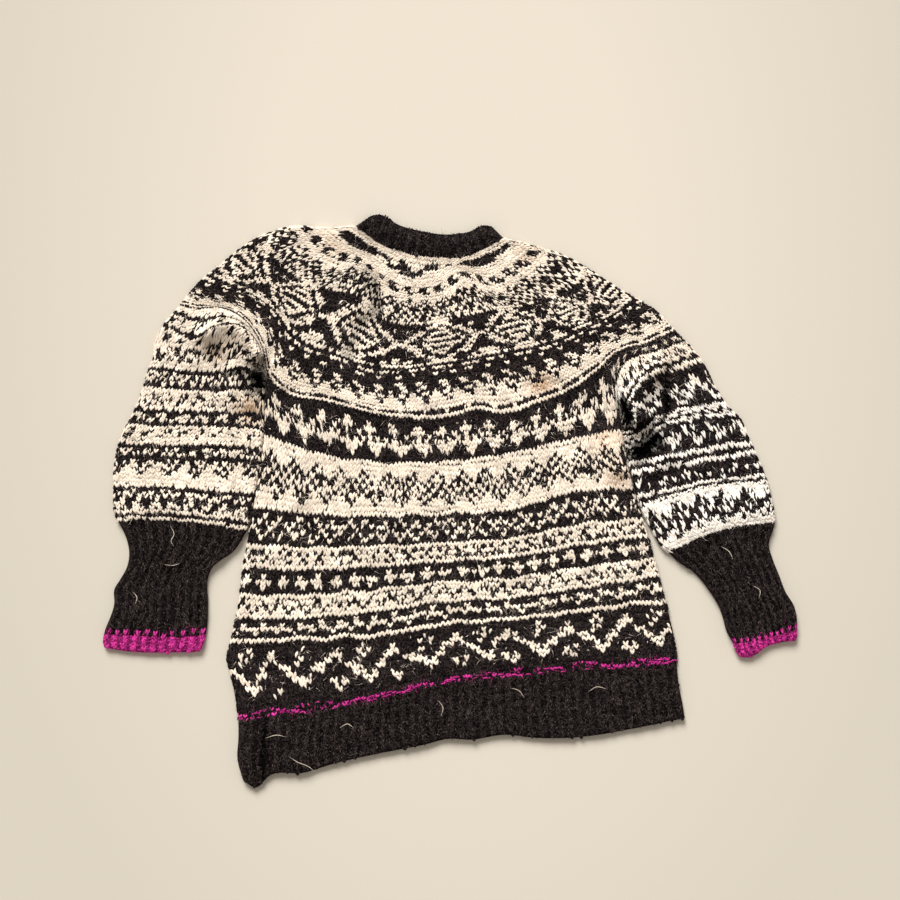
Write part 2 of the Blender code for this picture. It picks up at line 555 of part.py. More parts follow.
def add_cuff(side, top, end, left, right, edge_end, edge_left, edge_right, wool, magenta):
    cuff = simple_panel(line(top), line(end), line(left), line(right))
    edge = simple_panel(line(end), line(edge_end), line(edge_left), line(edge_right))
    ribs = rib_columns(CUFF_RIBS)
    rows = even(CUFF_ROWS)
    columns_back = even(CUFF_RIBS)
    add_front(f"cuff_{side}_front", cuff, ribs, rows, wool, ribs=CUFF_RIBS)
    add_back(f"cuff_{side}_back", cuff, columns_back, rows, wool)
    rows = [0, 0.8, 1]
    name = f"cuff_{side}_edge"
    add_front(f"{name}_front", edge, ribs, rows, magenta, (False, True), CUFF_RIBS)
    add_back(f"{name}_back", edge, columns_back, even(1), magenta, (False, True))


def main():
    clear_scene()
    collection = bpy.data.collections.new("nordic_yoke_sweater")
    bpy.context.scene.collection.children.link(collection)
    charcoal = yarn("charcoal_wool", CHARCOAL)
    cream = yarn("cream_wool", CREAM)
    magenta = yarn("magenta_wool", MAGENTA)
    add_neckband(charcoal)
    add_yoke_body_and_sleeves(cream)
    add_hem(charcoal, magenta)
    add_cuff("left", CUFF_SEAM_LEFT, CUFF_END_LEFT, CUFF_OUT_LEFT, CUFF_IN_LEFT,
             EDGE_END_LEFT, EDGE_OUT_LEFT, EDGE_IN_LEFT, charcoal, magenta)
    add_cuff("right", CUFF_SEAM_RIGHT[::-1], CUFF_END_RIGHT, CUFF_IN_RIGHT,
             CUFF_OUT_RIGHT, EDGE_END_RIGHT, EDGE_IN_RIGHT, EDGE_OUT_RIGHT,
             charcoal, magenta)


main()
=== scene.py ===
"""Looks of the nordic yoke sweater: cloth tubes, knit stitches, ribs, fuzz and light.

Every tube of the sweater is one thin shell, front and back, with the stitches of each
yarn over it. The layout grid, its lines and its folds are those of the solids. Where the
stitches lie closer, rows have shares of their own.
"""

import json

import bpy
import numpy as np
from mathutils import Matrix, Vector

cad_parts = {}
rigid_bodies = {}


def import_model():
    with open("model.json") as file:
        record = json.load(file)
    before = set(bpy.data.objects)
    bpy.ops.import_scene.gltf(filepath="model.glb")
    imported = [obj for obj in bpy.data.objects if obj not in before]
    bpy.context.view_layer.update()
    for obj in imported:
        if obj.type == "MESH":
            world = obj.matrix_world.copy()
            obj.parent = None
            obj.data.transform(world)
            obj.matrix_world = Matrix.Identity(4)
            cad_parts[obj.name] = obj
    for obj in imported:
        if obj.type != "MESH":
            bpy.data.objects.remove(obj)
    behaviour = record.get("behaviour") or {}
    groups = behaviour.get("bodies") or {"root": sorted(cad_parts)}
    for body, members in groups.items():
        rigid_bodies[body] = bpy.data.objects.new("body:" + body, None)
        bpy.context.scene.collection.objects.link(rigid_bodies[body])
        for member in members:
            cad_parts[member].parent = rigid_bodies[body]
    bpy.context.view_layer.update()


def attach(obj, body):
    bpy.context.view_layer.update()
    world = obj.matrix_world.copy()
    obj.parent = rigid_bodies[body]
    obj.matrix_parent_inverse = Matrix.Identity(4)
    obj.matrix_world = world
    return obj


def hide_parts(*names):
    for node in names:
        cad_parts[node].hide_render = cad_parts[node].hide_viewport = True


for leftover in list(bpy.data.objects):
    bpy.data.objects.remove(leftover)
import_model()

# Driving dimensions in metres, the same as the solids'.
SQUARE = 0.012  # one square of the layout grid that the lines and rows are given on
WALL = 0.003
AIR = 0.002
MOST_RISE_INSIDE = 0.0017  # of a wall's inside under a fold
THIN = 0.7  # least thickness of a folded wall, as a share of its own
END_ROUND = 0.003
END_DROP = 0.0012
RIB_RISE = 0.0013
RIB_FADE = 4  # how fast ribs fade on the side folds
MIDDLE = WALL + AIR / 2
FOLD_RADIUS = MIDDLE
FRONT_TOP = 2 * MIDDLE
BODY_FOLD_FORMS = (0.12, 0.22)
SLEEVE_FOLD_FORMS = (0.3, 0.4)
HEM_RIBS = 46
CUFF_RIBS = 11
NECK_RIBS = 15

# Outline and seam lines in squares, x to the right and y towards the neck.
NECK_TOP = [(-8.4, 28.2), (-7.2, 28.6), (-5.0, 27.5), (-2.7, 26.9), (-0.4, 26.6), (2.0, 26.9),
            (3.3, 27.5), (4.3, 27.4)]
NECK_SEAM = [(-9.5, 27.5), (-8.0, 26.3), (-6.0, 25.2), (-2.7, 24.4), (-0.5, 24.3), (1.3, 24.3),
             (3.1, 25.0), (5.4, 26.3)]
SHOULDER_LEFT = [(-9.5, 27.5), (-12.0, 27.3), (-16.0, 27.4), (-18.9, 26.5), (-20.6, 25.5),
                 (-22.7, 23.8), (-25.6, 21.3), (-27.0, 19.5)]
SHOULDER_RIGHT = [(5.4, 26.3), (8.5, 25.5), (11.0, 24.7), (13.5, 23.4), (16.0, 21.8), (18.3, 20.4),
                  (20.2, 19.3), (21.9, 17.7), (22.6, 16.9)]
YOKE_RIM = [(-27.0, 19.5), (-25.2, 19.1), (-23.2, 19.3), (-21.0, 18.5), (-19.3, 16.6),
            (-18.5, 14.5), (-18.3, 12.7), (-17.4, 11.2), (-15.7, 10.2), (-13.0, 9.9), (-10.5, 9.2),
            (-7.0, 8.3), (-2.7, 7.8), (0.5, 8.3), (3.0, 8.8), (4.8, 8.3), (9.0, 9.6), (11.5, 10.5),
            (13.5, 11.8), (15.3, 13.2), (16.5, 14.5), (18.0, 15.2), (19.6, 15.5), (21.2, 16.2),
            (22.6, 16.9)]
PIT_LEFT = (-18.3, 12.6)  # where the body's left side leaves the yoke's rim
PIT_RIGHT = (15.9, 13.9)
SIDE_LEFT = [(-18.3, 12.6), (-18.4, 10.1), (-18.5, 7.1), (-18.8, 4.1), (-19.4, 0.6), (-20.0, -2.5),
             (-20.4, -4.7), (-20.8, -7.4), (-21.2, -10.5), (-21.9, -13.9), (-22.3, -15.6),
             (-21.9, -17.4), (-21.5, -19.6), (-21.2, -21.2)]
SIDE_RIGHT = [(15.9, 13.9), (16.2, 11.6), (16.8, 9.1), (17.2, 6.6), (17.8, 3.3), (18.5, 0.6),
              (19.3, -1.8), (20.1, -4.5), (20.9, -7.4), (21.6, -10.1), (22.3, -13.3),
              (22.7, -15.6)]
HEM_SIDE_LEFT = [(-21.2, -21.8), (-21.2, -23.6), (-21.3, -25.8), (-20.8, -27.7)]
HEM_SIDE_RIGHT = [(22.7, -16.2), (22.9, -18.3), (23.3, -20.3), (23.5, -21.6)]
SLEEVE_OUT_LEFT = [(-27.0, 19.5), (-28.7, 17.5), (-29.4, 16.1), (-29.7, 14.2), (-30.2, 12.9),
                   (-30.7, 11.2), (-31.7, 8.7), (-32.7, 6.8), (-33.3, 5.0), (-33.6, 2.6),
                   (-33.6, 1.0), (-33.5, -1.2), (-33.2, -2.0)]
SLEEVE_OUT_RIGHT = [(22.6, 16.9), (24.8, 14.5), (25.5, 13.4), (26.3, 11.8), (27.6, 9.7),
                    (29.0, 8.2), (29.9, 6.3), (30.7, 4.4), (31.5, 2.6), (32.0, 0.7), (32.4, -1.4),
                    (32.5, -2.1)]
SLEEVE_IN_LEFT = [(-18.3, 12.6), (-18.5, 10.1), (-18.6, 7.1), (-18.9, 4.1), (-19.5, 0.6),
                  (-20.2, -2.9)]
SLEEVE_IN_RIGHT = [(15.9, 13.9), (16.3, 11.6), (16.9, 9.1), (17.3, 6.6), (17.9, 3.3), (18.6, 0.6),
                   (19.6, -1.9), (20.4, -3.4), (21.1, -4.6), (21.8, -5.2)]
CUFF_OUT_LEFT = [(-33.2, -2.0), (-32.3, -4.0), (-32.1, -5.2), (-32.3, -6.5), (-33.0, -7.8),
                 (-33.6, -8.8), (-33.6, -10.3), (-34.0, -11.6), (-34.5, -12.8), (-34.6, -13.2)]
CUFF_IN_LEFT = [(-20.2, -2.9), (-20.8, -4.0), (-21.7, -5.2), (-22.9, -6.0), (-23.7, -6.7),
                (-24.1, -7.7), (-24.1, -10.1), (-24.2, -12.6), (-24.3, -13.3)]
CUFF_OUT_RIGHT = [(32.5, -2.1), (32.3, -3.0), (31.9, -4.2), (32.3, -5.8), (32.9, -7.3),
                  (33.6, -9.1), (34.4, -10.4), (34.7, -11.6), (34.7, -12.8)]
CUFF_IN_RIGHT = [(21.8, -5.2), (22.7, -6.1), (24.1, -7.0), (25.0, -7.9), (25.9, -9.1),
                 (26.7, -10.4), (27.2, -11.7), (27.5, -12.9), (28.2, -14.2)]
CUFF_END_LEFT = [(-34.6, -13.2), (-31.0, -13.4), (-27.5, -13.5), (-24.3, -13.3)]
CUFF_END_RIGHT = [(28.2, -14.2), (30.5, -13.9), (32.5, -13.4), (34.7, -12.8)]
EDGE_OUT_LEFT = [(-34.6, -13.2), (-34.74, -14.0), (-34.6, -14.6)]
EDGE_IN_LEFT = [(-24.3, -13.3), (-24.5, -14.2), (-24.9, -15.0)]
EDGE_OUT_RIGHT = [(34.7, -12.8), (34.7, -13.4), (34.6, -13.9)]
EDGE_IN_RIGHT = [(28.2, -14.2), (28.5, -15.0), (29.0, -15.6)]
EDGE_END_LEFT = [(-34.6, -14.6), (-32.0, -15.0), (-28.0, -15.1), (-24.9, -15.0)]
EDGE_END_RIGHT = [(29.0, -15.6), (30.3, -15.4), (31.6, -14.5), (33.0, -14.1), (34.6, -13.9)]

# Heights of the body's rows at stations across it, in squares.
BODY_STATIONS = (-15.0, -8.0, -1.0, 6.0, 12.0)
BODY_ROWS = [
    # share of rows down, height at the left side, at the stations, at the right side
    (0.15, 6.5, (5.2, 3.9, 3.8, 4.7, 6.0), 7.1),
    (0.34, -0.7, (-1.3, -1.5, -1.4, -0.9, 0.7), 1.2),
    (0.53, -6.6, (-6.9, -6.5, -6.1, -5.5, -4.5), -3.5),
    (0.69, -11.6, (-11.7, -11.0, -10.0, -9.6, -8.7), -7.5),
    (0.79, -14.2, (-14.0, -13.6, -12.5, -11.9, -11.2), -10.1),
]
STRIPE_TOP = (-21.2, (-20.5, -19.4, -17.7, -16.9, -16.4), -15.6)
STRIPE_WIDTH = 0.6
HEM_BOTTOM = [(-20.8, -27.7), (-19.4, -28.6), (-17.9, -27.3), (-14.7, -27.1), (-11.6, -26.2),
              (-7.2, -25.2), (-2.6, -24.3), (0.0, -23.7), (2.0, -23.8), (5.6, -23.3), (8.3, -23.6),
              (13.3, -23.5), (18.2, -22.7), (23.5, -21.6)]

# Yoke rings between the neck seam and the rim, in squares: share of rows down, line.
YOKE_RINGS = [
    (0.171, [(-14.0, 27.4), (-11.4, 25.1), (-8.8, 24.2), (-6.5, 22.4), (-4.0, 21.3), (-1.5, 21.5),
             (1.2, 22.9), (4.0, 22.4), (6.5, 23.7), (8.4, 25.5)]),
    (0.298, [(-16.6, 27.3), (-15.0, 25.1), (-12.5, 23.0), (-9.8, 22.8), (-8.0, 22.5), (-6.4, 20.3),
             (-3.8, 19.6), (-1.0, 19.8), (2.0, 21.1), (4.6, 20.5), (7.0, 21.5), (9.3, 22.9),
             (10.8, 24.8)]),
    (0.404, [(-18.9, 26.5), (-17.2, 24.3), (-15.0, 22.3), (-11.5, 21.3), (-8.8, 20.3),
             (-6.5, 18.3), (-3.5, 17.8), (0.0, 18.3), (3.5, 19.2), (6.5, 19.5), (9.5, 20.3),
             (12.2, 21.7), (13.6, 23.4)]),
    (0.792, [(-25.6, 21.3), (-22.8, 20.5), (-20.0, 19.5), (-17.8, 17.3), (-16.6, 14.9),
             (-14.5, 13.5), (-11.5, 12.7), (-8.0, 11.7), (-2.5, 11.9), (3.0, 12.7), (8.5, 13.7),
             (12.0, 14.9), (14.8, 16.5), (17.5, 17.6), (20.2, 19.3)]),
]

# Sleeve rows from the rim down, in squares: share of rows down, line. The upper ones
# run over the roll at the underarm and sink together into the pit beside it.
SLEEVE_ROWS_LEFT = [
    (0.14, [(-28.8, 17.2), (-27.0, 16.3), (-25.0, 16.0), (-23.9, 16.9), (-22.2, 17.4),
            (-20.4, 17.0), (-19.2, 15.6), (-18.4, 12.4)]),
    (0.18, [(-29.5, 15.4), (-27.2, 15.5), (-25.0, 15.2), (-23.8, 15.6), (-22.6, 16.0),
            (-21.0, 15.8), (-19.8, 14.9), (-18.4, 12.2)]),
    (0.29, [(-30.1, 13.2), (-28.0, 13.0), (-25.9, 12.7), (-23.4, 12.7), (-21.8, 13.0),
            (-20.4, 13.2), (-19.6, 12.9), (-18.3, 11.9)]),
    (0.40, [(-30.8, 10.9), (-28.4, 10.6), (-25.3, 10.4), (-22.1, 10.4), (-20.5, 10.5),
            (-18.4, 10.8)]),
    (0.48, [(-31.5, 9.0), (-27.8, 8.6), (-24.6, 8.6), (-21.4, 8.5), (-20.0, 8.4), (-18.5, 8.1)]),
    (0.57, [(-32.6, 7.0), (-27.2, 6.8), (-23.4, 6.8), (-20.2, 6.7), (-18.6, 6.4)]),
    (0.73, [(-33.5, 3.7), (-27.2, 3.5), (-23.4, 3.4), (-19.0, 3.1)]),
    (0.85, [(-33.6, 1.2), (-28.5, 1.1), (-24.0, 0.7), (-19.6, 0.4)]),
]
CUFF_SEAM_LEFT = [(-33.2, -2.0), (-30.0, -1.9), (-27.0, -2.0), (-23.7, -2.4), (-20.2, -2.9)]
SLEEVE_ROWS_RIGHT = [
    (0.10, [(23.4, 15.6), (21.5, 14.9), (19.5, 14.4), (18.0, 13.9), (16.8, 12.3), (16.5, 10.4)]),
    (0.19, [(24.0, 14.0), (21.7, 13.2), (20.0, 13.0), (18.4, 11.8), (17.5, 10.1), (17.1, 8.1)]),
    (0.29, [(25.7, 11.9), (21.7, 10.9), (20.5, 11.0), (19.0, 9.9), (18.0, 8.3), (17.2, 7.3)]),
    (0.39, [(27.2, 9.9), (21.6, 8.8), (20.5, 8.4), (19.5, 7.4), (18.6, 6.7), (17.3, 6.5)]),
    (0.48, [(28.5, 8.5), (21.4, 7.3), (20.6, 6.9), (19.8, 6.1), (19.0, 5.5), (17.5, 5.4)]),
    (0.59, [(29.9, 6.0), (26.3, 5.4), (24.0, 5.0), (22.0, 4.6), (20.0, 4.3), (17.8, 3.8)]),
    (0.73, [(31.2, 2.9), (27.8, 2.5), (24.8, 2.1), (21.7, 1.4), (18.4, 0.9)]),
    (0.83, [(31.7, 1.2), (27.8, 1.1), (24.8, 0.6), (22.0, -0.3), (19.3, -1.4)]),
    (0.93, [(32.3, -0.9), (29.4, -1.3), (26.3, -1.8), (24.0, -2.6), (22.0, -3.5), (20.7, -3.9)]),
]
CUFF_SEAM_RIGHT = [(32.5, -2.1), (29.4, -2.4), (27.1, -2.9), (24.8, -3.7), (23.2, -4.4),
                   (21.8, -5.2)]

# Folds on the front. Widths and lines in squares, heights in metres.
FOLDS = [
    # half width, height, line along the fold
    (0.90, 0.0035, [(-8.3, 27.9), (-7.4, 27.5), (-5.5, 26.3), (-2.7, 25.6), (-0.4, 25.4),
                    (1.7, 25.7), (3.2, 26.3), (4.5, 26.9)]),
    (1.25, 0.017, [(-24.3, 16.4), (-22.8, 17.5), (-21.0, 17.2), (-19.6, 15.8), (-19.0, 14.6)]),
    (0.55, -0.006, [(-24.2, 15.8), (-23.4, 14.4), (-22.7, 13.6)]),
    (1.00, 0.008, [(-17.2, 13.6), (-16.9, 11.6)]),
    (0.90, 0.006, [(-21.4, 11.3), (-19.9, 9.9)]),
    (0.80, -0.022, [(-19.3, 13.0), (-19.2, 11.9)]),
    (1.30, 0.019, [(20.4, 13.0), (18.9, 11.9), (18.4, 9.9), (18.9, 8.0)]),
    (0.50, -0.008, [(21.8, 13.2), (21.8, 10.8), (21.3, 7.6)]),
    (1.00, 0.007, [(16.2, 5.0), (17.0, 3.2)]),
    (0.85, 0.006, [(22.0, 4.4), (20.0, 3.0)]),
    (0.95, -0.022, [(18.4, 4.9), (19.8, 5.8)]),
    (0.80, -0.003, [(-7.6, 22.0), (-7.1, 19.0), (-9.6, 17.0), (-10.3, 14.2)]),
    (1.30, 0.003, [(-8.9, 21.6), (-8.5, 19.2)]),
    (1.20, 0.003, [(-11.4, 9.7), (-8.5, 9.6), (-4.0, 8.6)]),
    (0.90, -0.002, [(-9.8, 10.6), (-10.6, 8.2)]),
    (1.20, -0.004, [(8.0, 12.4), (10.8, 10.2), (14.0, 7.8)]),
    (1.60, 0.003, [(9.6, 13.4), (13.6, 13.2)]),
    (1.80, 0.005, [(-32.0, -0.4), (-27.0, -0.4), (-21.8, -1.2)]),
    (1.60, 0.005, [(30.8, -0.8), (26.2, -1.6), (22.4, -3.2)]),
    (1.40, 0.003, [(-19.8, -20.0), (-7.0, -17.9), (3.0, -15.8), (21.0, -14.8)]),
    (0.90, 0.004, [(-20.2, -22.6), (-20.1, -27.0)]),
    (0.50, -0.002, [(-19.0, -22.2), (-18.9, -27.0)]),
]

# How finely lines, folds and surfaces are read.
LINE_POINTS = 600
PART_POINTS = 60  # of a line that is part of another
FOLD_POINTS = 30
FOLD_STEPS = 12  # steps round a side fold
DENSE_COLUMNS = 260
DENSE_ROWS = 140
RIB_STEPS = 12
SHELL_STEP = 0.0055  # size of the cloth shells' faces
SHELL_RIB_STEPS = 6

# Heights in metres.
SHELL = 0.0016  # thickness of the cloth shells
FRONT_DEPTH = 0.0008  # a shell's outside lies this far inside its solid's
BACK_DEPTH = 0.0009
FRONT_RISE = 0.0014  # stitches stand this far above the shell
BACK_RISE = 0.0008
PLATE_RISE = 0.0003
CRUMPLE_WAVES = 30
CRUMPLE_HEIGHT = 0.00045
CRUMPLE_LENGTHS = (0.018, 0.075)

# Stitch charts, read from the neck down. x is charcoal yarn, a dot is cream yarn, and m
# is magenta yarn. Each row repeats across its wall.
BODY_STITCHES = 92
BODY_CHART = """
xxxxxx xxxx.x xxx... x.xx.x .x.x.x ..x... .xxx.. xxxxx. xxxxxx
. . ..x... .x.x.. x.x.x. .x.x.x x.x.x. .x.x.x x...x. .....x . .
x xxx. .x.x x.xx .x.x xxx. x
. x.x. .x.. x.x. .
x x.xx ...x x.xx x
. .x.. x.x. ...x .
x xx.x .x.. x.xx x .
xxxxxxxxxxxx xx.xxxxxxxxx x.x.xxxx.xxx xx.xxxx...xx x.xxxx..x.xx xxxxx.xxxx..
.xxx..xxxxx. ..x.xxxxxxxx x...xxx.x.xx xx.xxxx.x.xx xxxxxxxx.xxx x x
""".split()

# The yoke's rounds, in tiers with more stitches towards the rim.
NECK_TIER = """
. .
..xxxxxxxxxxx.......xx......xxxx.......xxxxxxxxxxxxxxx..
..xxxxxxxxxxxxxxxx..xxxx..xxxxxx..xx..xxxxxxxxxxxxxxxx..
...xxxxxxxxxxx....xxxxxxxxxx..........xxxxxxxxxx........
......................xxxx..............................
. . .
""".split()
TICK_TIER = "xx.. xx.. .xx. . . ..x.".split()
SPECKLE_TIER = "x.x. .x.x x.xx .x.x x.x. .x.x".split()
LATTICE_TIER = """
.x.x.x......x.x.x.
xxxxxxx....xxxxxxx
xxxxxx..xx..xxxxxx
x.xx..xx..xx..xx.x
xxx..xx....xx..xxx
xx..xx.xxxx.xx..xx
x..xx........xx..x
..xx.xxxxxxxx.xx..
x..xx........xx..x
xx..xx.xxxx.xx..xx
xxx..xx....xx..xxx
xxxx..xx..xx..xxxx
.xxxxx..xx..xxxxx.
.x.xxxx....xxxx.x.
...x.x......x.x...
x
.x.xx.
x
xx.x
x
""".split()
RIM_TIER = "x x..xxx xx..xx x.xx .x..x. ..xx.. ...x.. . . xx.xxx . x".split()
YOKE_TIERS = [(56, NECK_TIER), (72, TICK_TIER), (88, SPECKLE_TIER), (108, LATTICE_TIER),
              (144, RIM_TIER)]

SLEEVE_STITCHES = 33
SLEEVE_CHART_LEFT = """
. . x ...x. .x.... . x .... ..x. . .x..x .x.x. x.x.. . .
x x.x. .x.x x.x. x
. ...x x... ..x. .
x x...x .x..x x
. ..x. .x.. . .
x x.x. .x.x x
.x.x.x x.x... .x...x x..... . . .
x x.x. .x.x xx.x x..x x.x. . x .
""".split()
SLEEVE_CHART_RIGHT = """
x x..x xx.x x
. x... .x.x .
x .
x xxxxxxx.xx xx.xxx...x x.x.x..x.. xx.x..xxx. .xx..xxxxx ...xxxxxxx x
. ..x. xx.x .
x x.xxx. x.x.x. x..xxx x
. x .
x xx.xxx x.xx.x x . x
. . ..x... .xx.x. xx.x.x .x.xxx x.xx.. x..... . .
""".split()

# Where patterns repeat across, in squares: the lattice's crossings on the yoke, and the
# lowest points of the zigzag over the hem.
LATTICE_REPEAT = 18  # in stitches
HEM_REPEAT = 12
LATTICE_CROSSINGS = [(-18.3, 21.3), (-12.4, 18.6), (-5.1, 15.6), (3.6, 15.9), (9.1, 18.9),
                     (14.9, 18.9)]
HEM_VALLEYS = [(-20.9, -18.6), (-15.4, -18.2), (-9.5, -17.4), (-3.3, -16.6), (2.7, -15.9),
               (7.9, -15.2), (14.1, -14.5), (19.6, -13.8)]
NECK_ROWS = 6
HEM_ROWS = 15
CUFF_ROWS = 25
EDGE_ROWS = 4
STRIPE_SHARES = (0.75, 0.6)  # of magenta yarn in each row of the stripe over the hem
STRIPE_KNIT = 0.55

# Camera and light, in metres and watts.
CAMERA = (0.0, 0.0612, 3.0)
SENSOR = 36.0  # millimetres
LENS = 100.0
FLOOR_SIZE = 6.0
FLOOR_Z = -0.0002
FLOOR_LIGHT_POOL = (0.0, 0.3, 0.0)  # painted pool of light: the floor's colour dims away from here
FLOOR_STRETCH = (1.4, 0.85, 1.0)  # and faster sideways
FLOOR_PAINTED_DIM_SPAN = (0.3, 0.85)
FLOOR_PAINTED_DIM = 0.84
SKY = (1.0, 0.94, 0.88)
SKY_STRENGTH = 0.52
SUN_FROM = (-0.22, 0.76, 0.64)  # the way to the light
SUN_STRENGTH = 4.8
SUN_WIDTH = 30.0  # degrees

# Yarn colours, linear, as they look in daylight.
CREAM = (0.895, 0.80, 0.675)
CREAM_FAR = (0.80, 0.675, 0.53)
# painted cool light: the cream as it looks on the right sleeve
CREAM_IN_COOL_LIGHT = (0.87, 0.84, 0.79)
CHARCOAL = (0.001, 0.0007, 0.0007)
CHARCOAL_FAR = (0.042, 0.032, 0.031)
GREY = (0.19, 0.145, 0.12)
GREY_FAR = (0.045, 0.033, 0.028)
MAGENTA = (0.80, 0.07, 0.38)
MAGENTA_FAR = (0.36, 0.008, 0.16)
TAN_BROWN = (0.42, 0.22, 0.09)
BLUSH = (0.78, 0.60, 0.50)
# partly the yarn carried behind the stitches, partly painted shade in the gaps between them
FLOATS_IN_SHADE = (0.05, 0.042, 0.036)
FLOOR = (0.600, 0.548, 0.460)
FLOOR_FAR = (0.585, 0.533, 0.446)

# Yarn by its sign in the charts, where g is the grey hair in the charcoal yarn: colour
# and material slot.
YARNS = {
    "x": ("charcoal", "charcoal_wool"),
    ".": ("cream", "cream_wool"),
    "m": ("magenta", "magenta_wool"),
    "g": ("grey", "charcoal_wool"),
}

# Tan spots on the wool, in squares.
TAN_SPOTS = [
    # x, y, radius, strength
    (-20.0, 9.1, 1.4, 0.85),
    (-23.3, 14.8, 0.9, 0.7),
    (9.2, 11.6, 1.3, 0.9),
    (15.6, 6.5, 1.6, 0.6),
    (16.8, 2.3, 1.3, 0.6),
    (-11.7, 25.5, 1.0, 0.35),
    (7.6, 24.6, 1.1, 0.4),
]

COOL_LIGHT_SPAN = (10.5, 13.5)  # the right sleeve's painted cool light fades out at this height, in squares

# Painted shade in the hollows beside the rolls at the underarms and in other creases, where little
# light gets in, in squares.
HOLLOW_POWER = 4  # how sharply they end
SHADED_HOLLOWS = [
    # half width, darkness, line along the hollow
    (0.95, 1.00, [(-19.4, 12.6), (-19.1, 12.3), (-19.0, 11.7)]),
    (0.40, 0.80, [(-22.2, 12.9), (-20.0, 12.8)]),
    (0.60, 0.60, [(-20.6, 11.4), (-19.4, 10.8)]),
    (0.40, 0.50, [(-18.7, 14.2), (-18.9, 13.2), (-18.7, 10.2)]),
    (1.10, 1.00, [(18.7, 4.9), (19.6, 5.3), (20.4, 6.0)]),
    (0.60, 1.00, [(17.2, 9.9), (17.8, 7.8)]),
    (0.38, 0.95, [(21.8, 11.6), (21.7, 10.4), (21.6, 9.0), (21.2, 7.6)]),
    (0.30, 0.80, [(17.6, 7.2), (19.0, 7.4), (20.4, 8.3)]),
    (0.35, 0.85, [(-18.5, -22.6), (-18.6, -27.4)]),
    (0.70, 0.40, [(-8.3, 22.3), (-7.3, 19.4), (-9.4, 17.2), (-10.2, 14.6)]),
    (0.35, 0.35, [(-7.4, 21.9), (-7.1, 19.2)]),
]

# Long pale hairs that lie on the charcoal ribs, in squares.
HAIRS = {
    "hem_rib": [
        [(-16.1, -25.4), (-15.2, -26.0), (-14.2, -26.4), (-13.4, -27.0)],
        [(-18.4, -23.6), (-17.2, -23.3), (-16.3, -23.5)],
        [(-1.2, -19.8), (-0.7, -20.6), (-0.9, -21.4)],
        [(6.0, -18.6), (6.9, -18.9), (7.4, -19.6)],
        [(13.8, -19.0), (14.6, -18.5), (15.6, -18.7)],
        [(-11.0, -22.6), (-10.2, -22.2), (-9.6, -22.6)],
    ],
    "cuff_left": [
        [(-27.9, -2.4), (-27.5, -3.3), (-27.8, -4.0), (-27.5, -4.5)],
        [(-28.5, -6.3), (-27.7, -6.4), (-26.9, -6.2)],
        [(-31.6, -9.0), (-31.2, -9.6), (-31.4, -10.3)],
    ],
    "cuff_right": [
        [(27.0, -4.5), (27.8, -5.0), (28.2, -5.8)],
        [(30.2, -8.4), (30.9, -8.9), (30.8, -9.7)],
    ],
}

SEED = 11
TINY = 1e-9  # keeps a division from one by zero


def lengths(ways):
    return np.linalg.norm(ways, axis=-1)


def unit(ways):
    return ways / np.maximum(lengths(ways)[..., None], TINY)


def running(steps):
    """Sums of the steps so far, from zero."""
    return np.concatenate([[0.0], np.cumsum(steps)])


def glide(at, knots, values, level_peaks):
    """Smooth values between knots. With level_peaks they never pass the knots' own range."""
    knots = np.asarray(knots, float)
    values = np.asarray(values, float)
    wide = (-1,) + (1,) * (values.ndim - 1)
    steps = np.diff(knots).reshape(wide)
    slopes = np.diff(values, axis=0) / steps
    tangents = np.concatenate([slopes[:1], slopes])
    before, after = slopes[:-1], slopes[1:]
    if level_peaks:
        same_way = before * after > 0
        safe = np.where(same_way, before + after, 1.0)
        tangents[1:-1] = np.where(same_way, 2 * before * after / safe, 0.0)
    else:
        tangents[1:-1] = (before * steps[1:] + after * steps[:-1]) / (steps[1:] + steps[:-1])
    at = np.clip(np.asarray(at, float), knots[0], knots[-1])
    span = np.clip(np.searchsorted(knots, at, side="right") - 1, 0, len(knots) - 2)
    step = steps[span]
    share = (at - knots[span]).reshape(wide) / step
    return (
        values[span] * (2 * share**3 - 3 * share**2 + 1)
        + tangents[span] * step * (share**3 - 2 * share**2 + share)
        + values[span + 1] * (3 * share**2 - 2 * share**3)
        + tangents[span + 1] * step * (share**3 - share**2)
    )


class Line:
    """A smooth line in metres, read by shares of its length."""

    def __init__(self, metres):
        knots = running(lengths(np.diff(metres, axis=0)))
        self.dense = glide(np.linspace(0, knots[-1], LINE_POINTS), knots, metres, False)
        runs = lengths(np.diff(self.dense, axis=0))
        self.length = runs.sum()
        self.shares = running(runs) / self.length

    def at(self, share):
        return np.stack([np.interp(share, self.shares, self.dense[:, k]) for k in (0, 1)], -1)

    def share_of(self, point):
        return self.shares[lengths(self.dense - point).argmin()]

    def part(self, first, last):
        return Line(self.at(np.linspace(first, last, PART_POINTS)))


def line(squares):
    return Line(np.array(squares, float) * SQUARE)


class Panel:
    """A piece of cloth between a left and a right side line, with rows given from the
    neck down. at(across, down) gives the points of a grid, rows first."""

    def __init__(self, left, right, rows):
        self.left = left
        self.right = right
        self.down = np.array([share for share, _ in rows])
        self.rows = [row for _, row in rows]
        self.left_shares = [left.share_of(row.at(0.0)) for row in self.rows]
        self.right_shares = [right.share_of(row.at(1.0)) for row in self.rows]

    def at(self, across, down):
        across = np.asarray(across, float)
        bows = []
        for row in self.rows:
            first, last = row.at(0.0), row.at(1.0)
            bows.append(row.at(across) - first - across[:, None] * (last - first))
        first = self.left.at(glide(down, self.down, self.left_shares, True))
        last = self.right.at(glide(down, self.down, self.right_shares, True))
        chord = first[:, None] + across[None, :, None] * (last - first)[:, None]
        return chord + glide(down, self.down, np.array(bows), True)

    def width(self):
        return float(np.mean([row.length for row in self.rows]))

    def height(self):
        return (self.left.length + self.right.length) / 2


def simple_panel(top, bottom, left, right):
    return Panel(left, right, [(0.0, top), (1.0, bottom)])


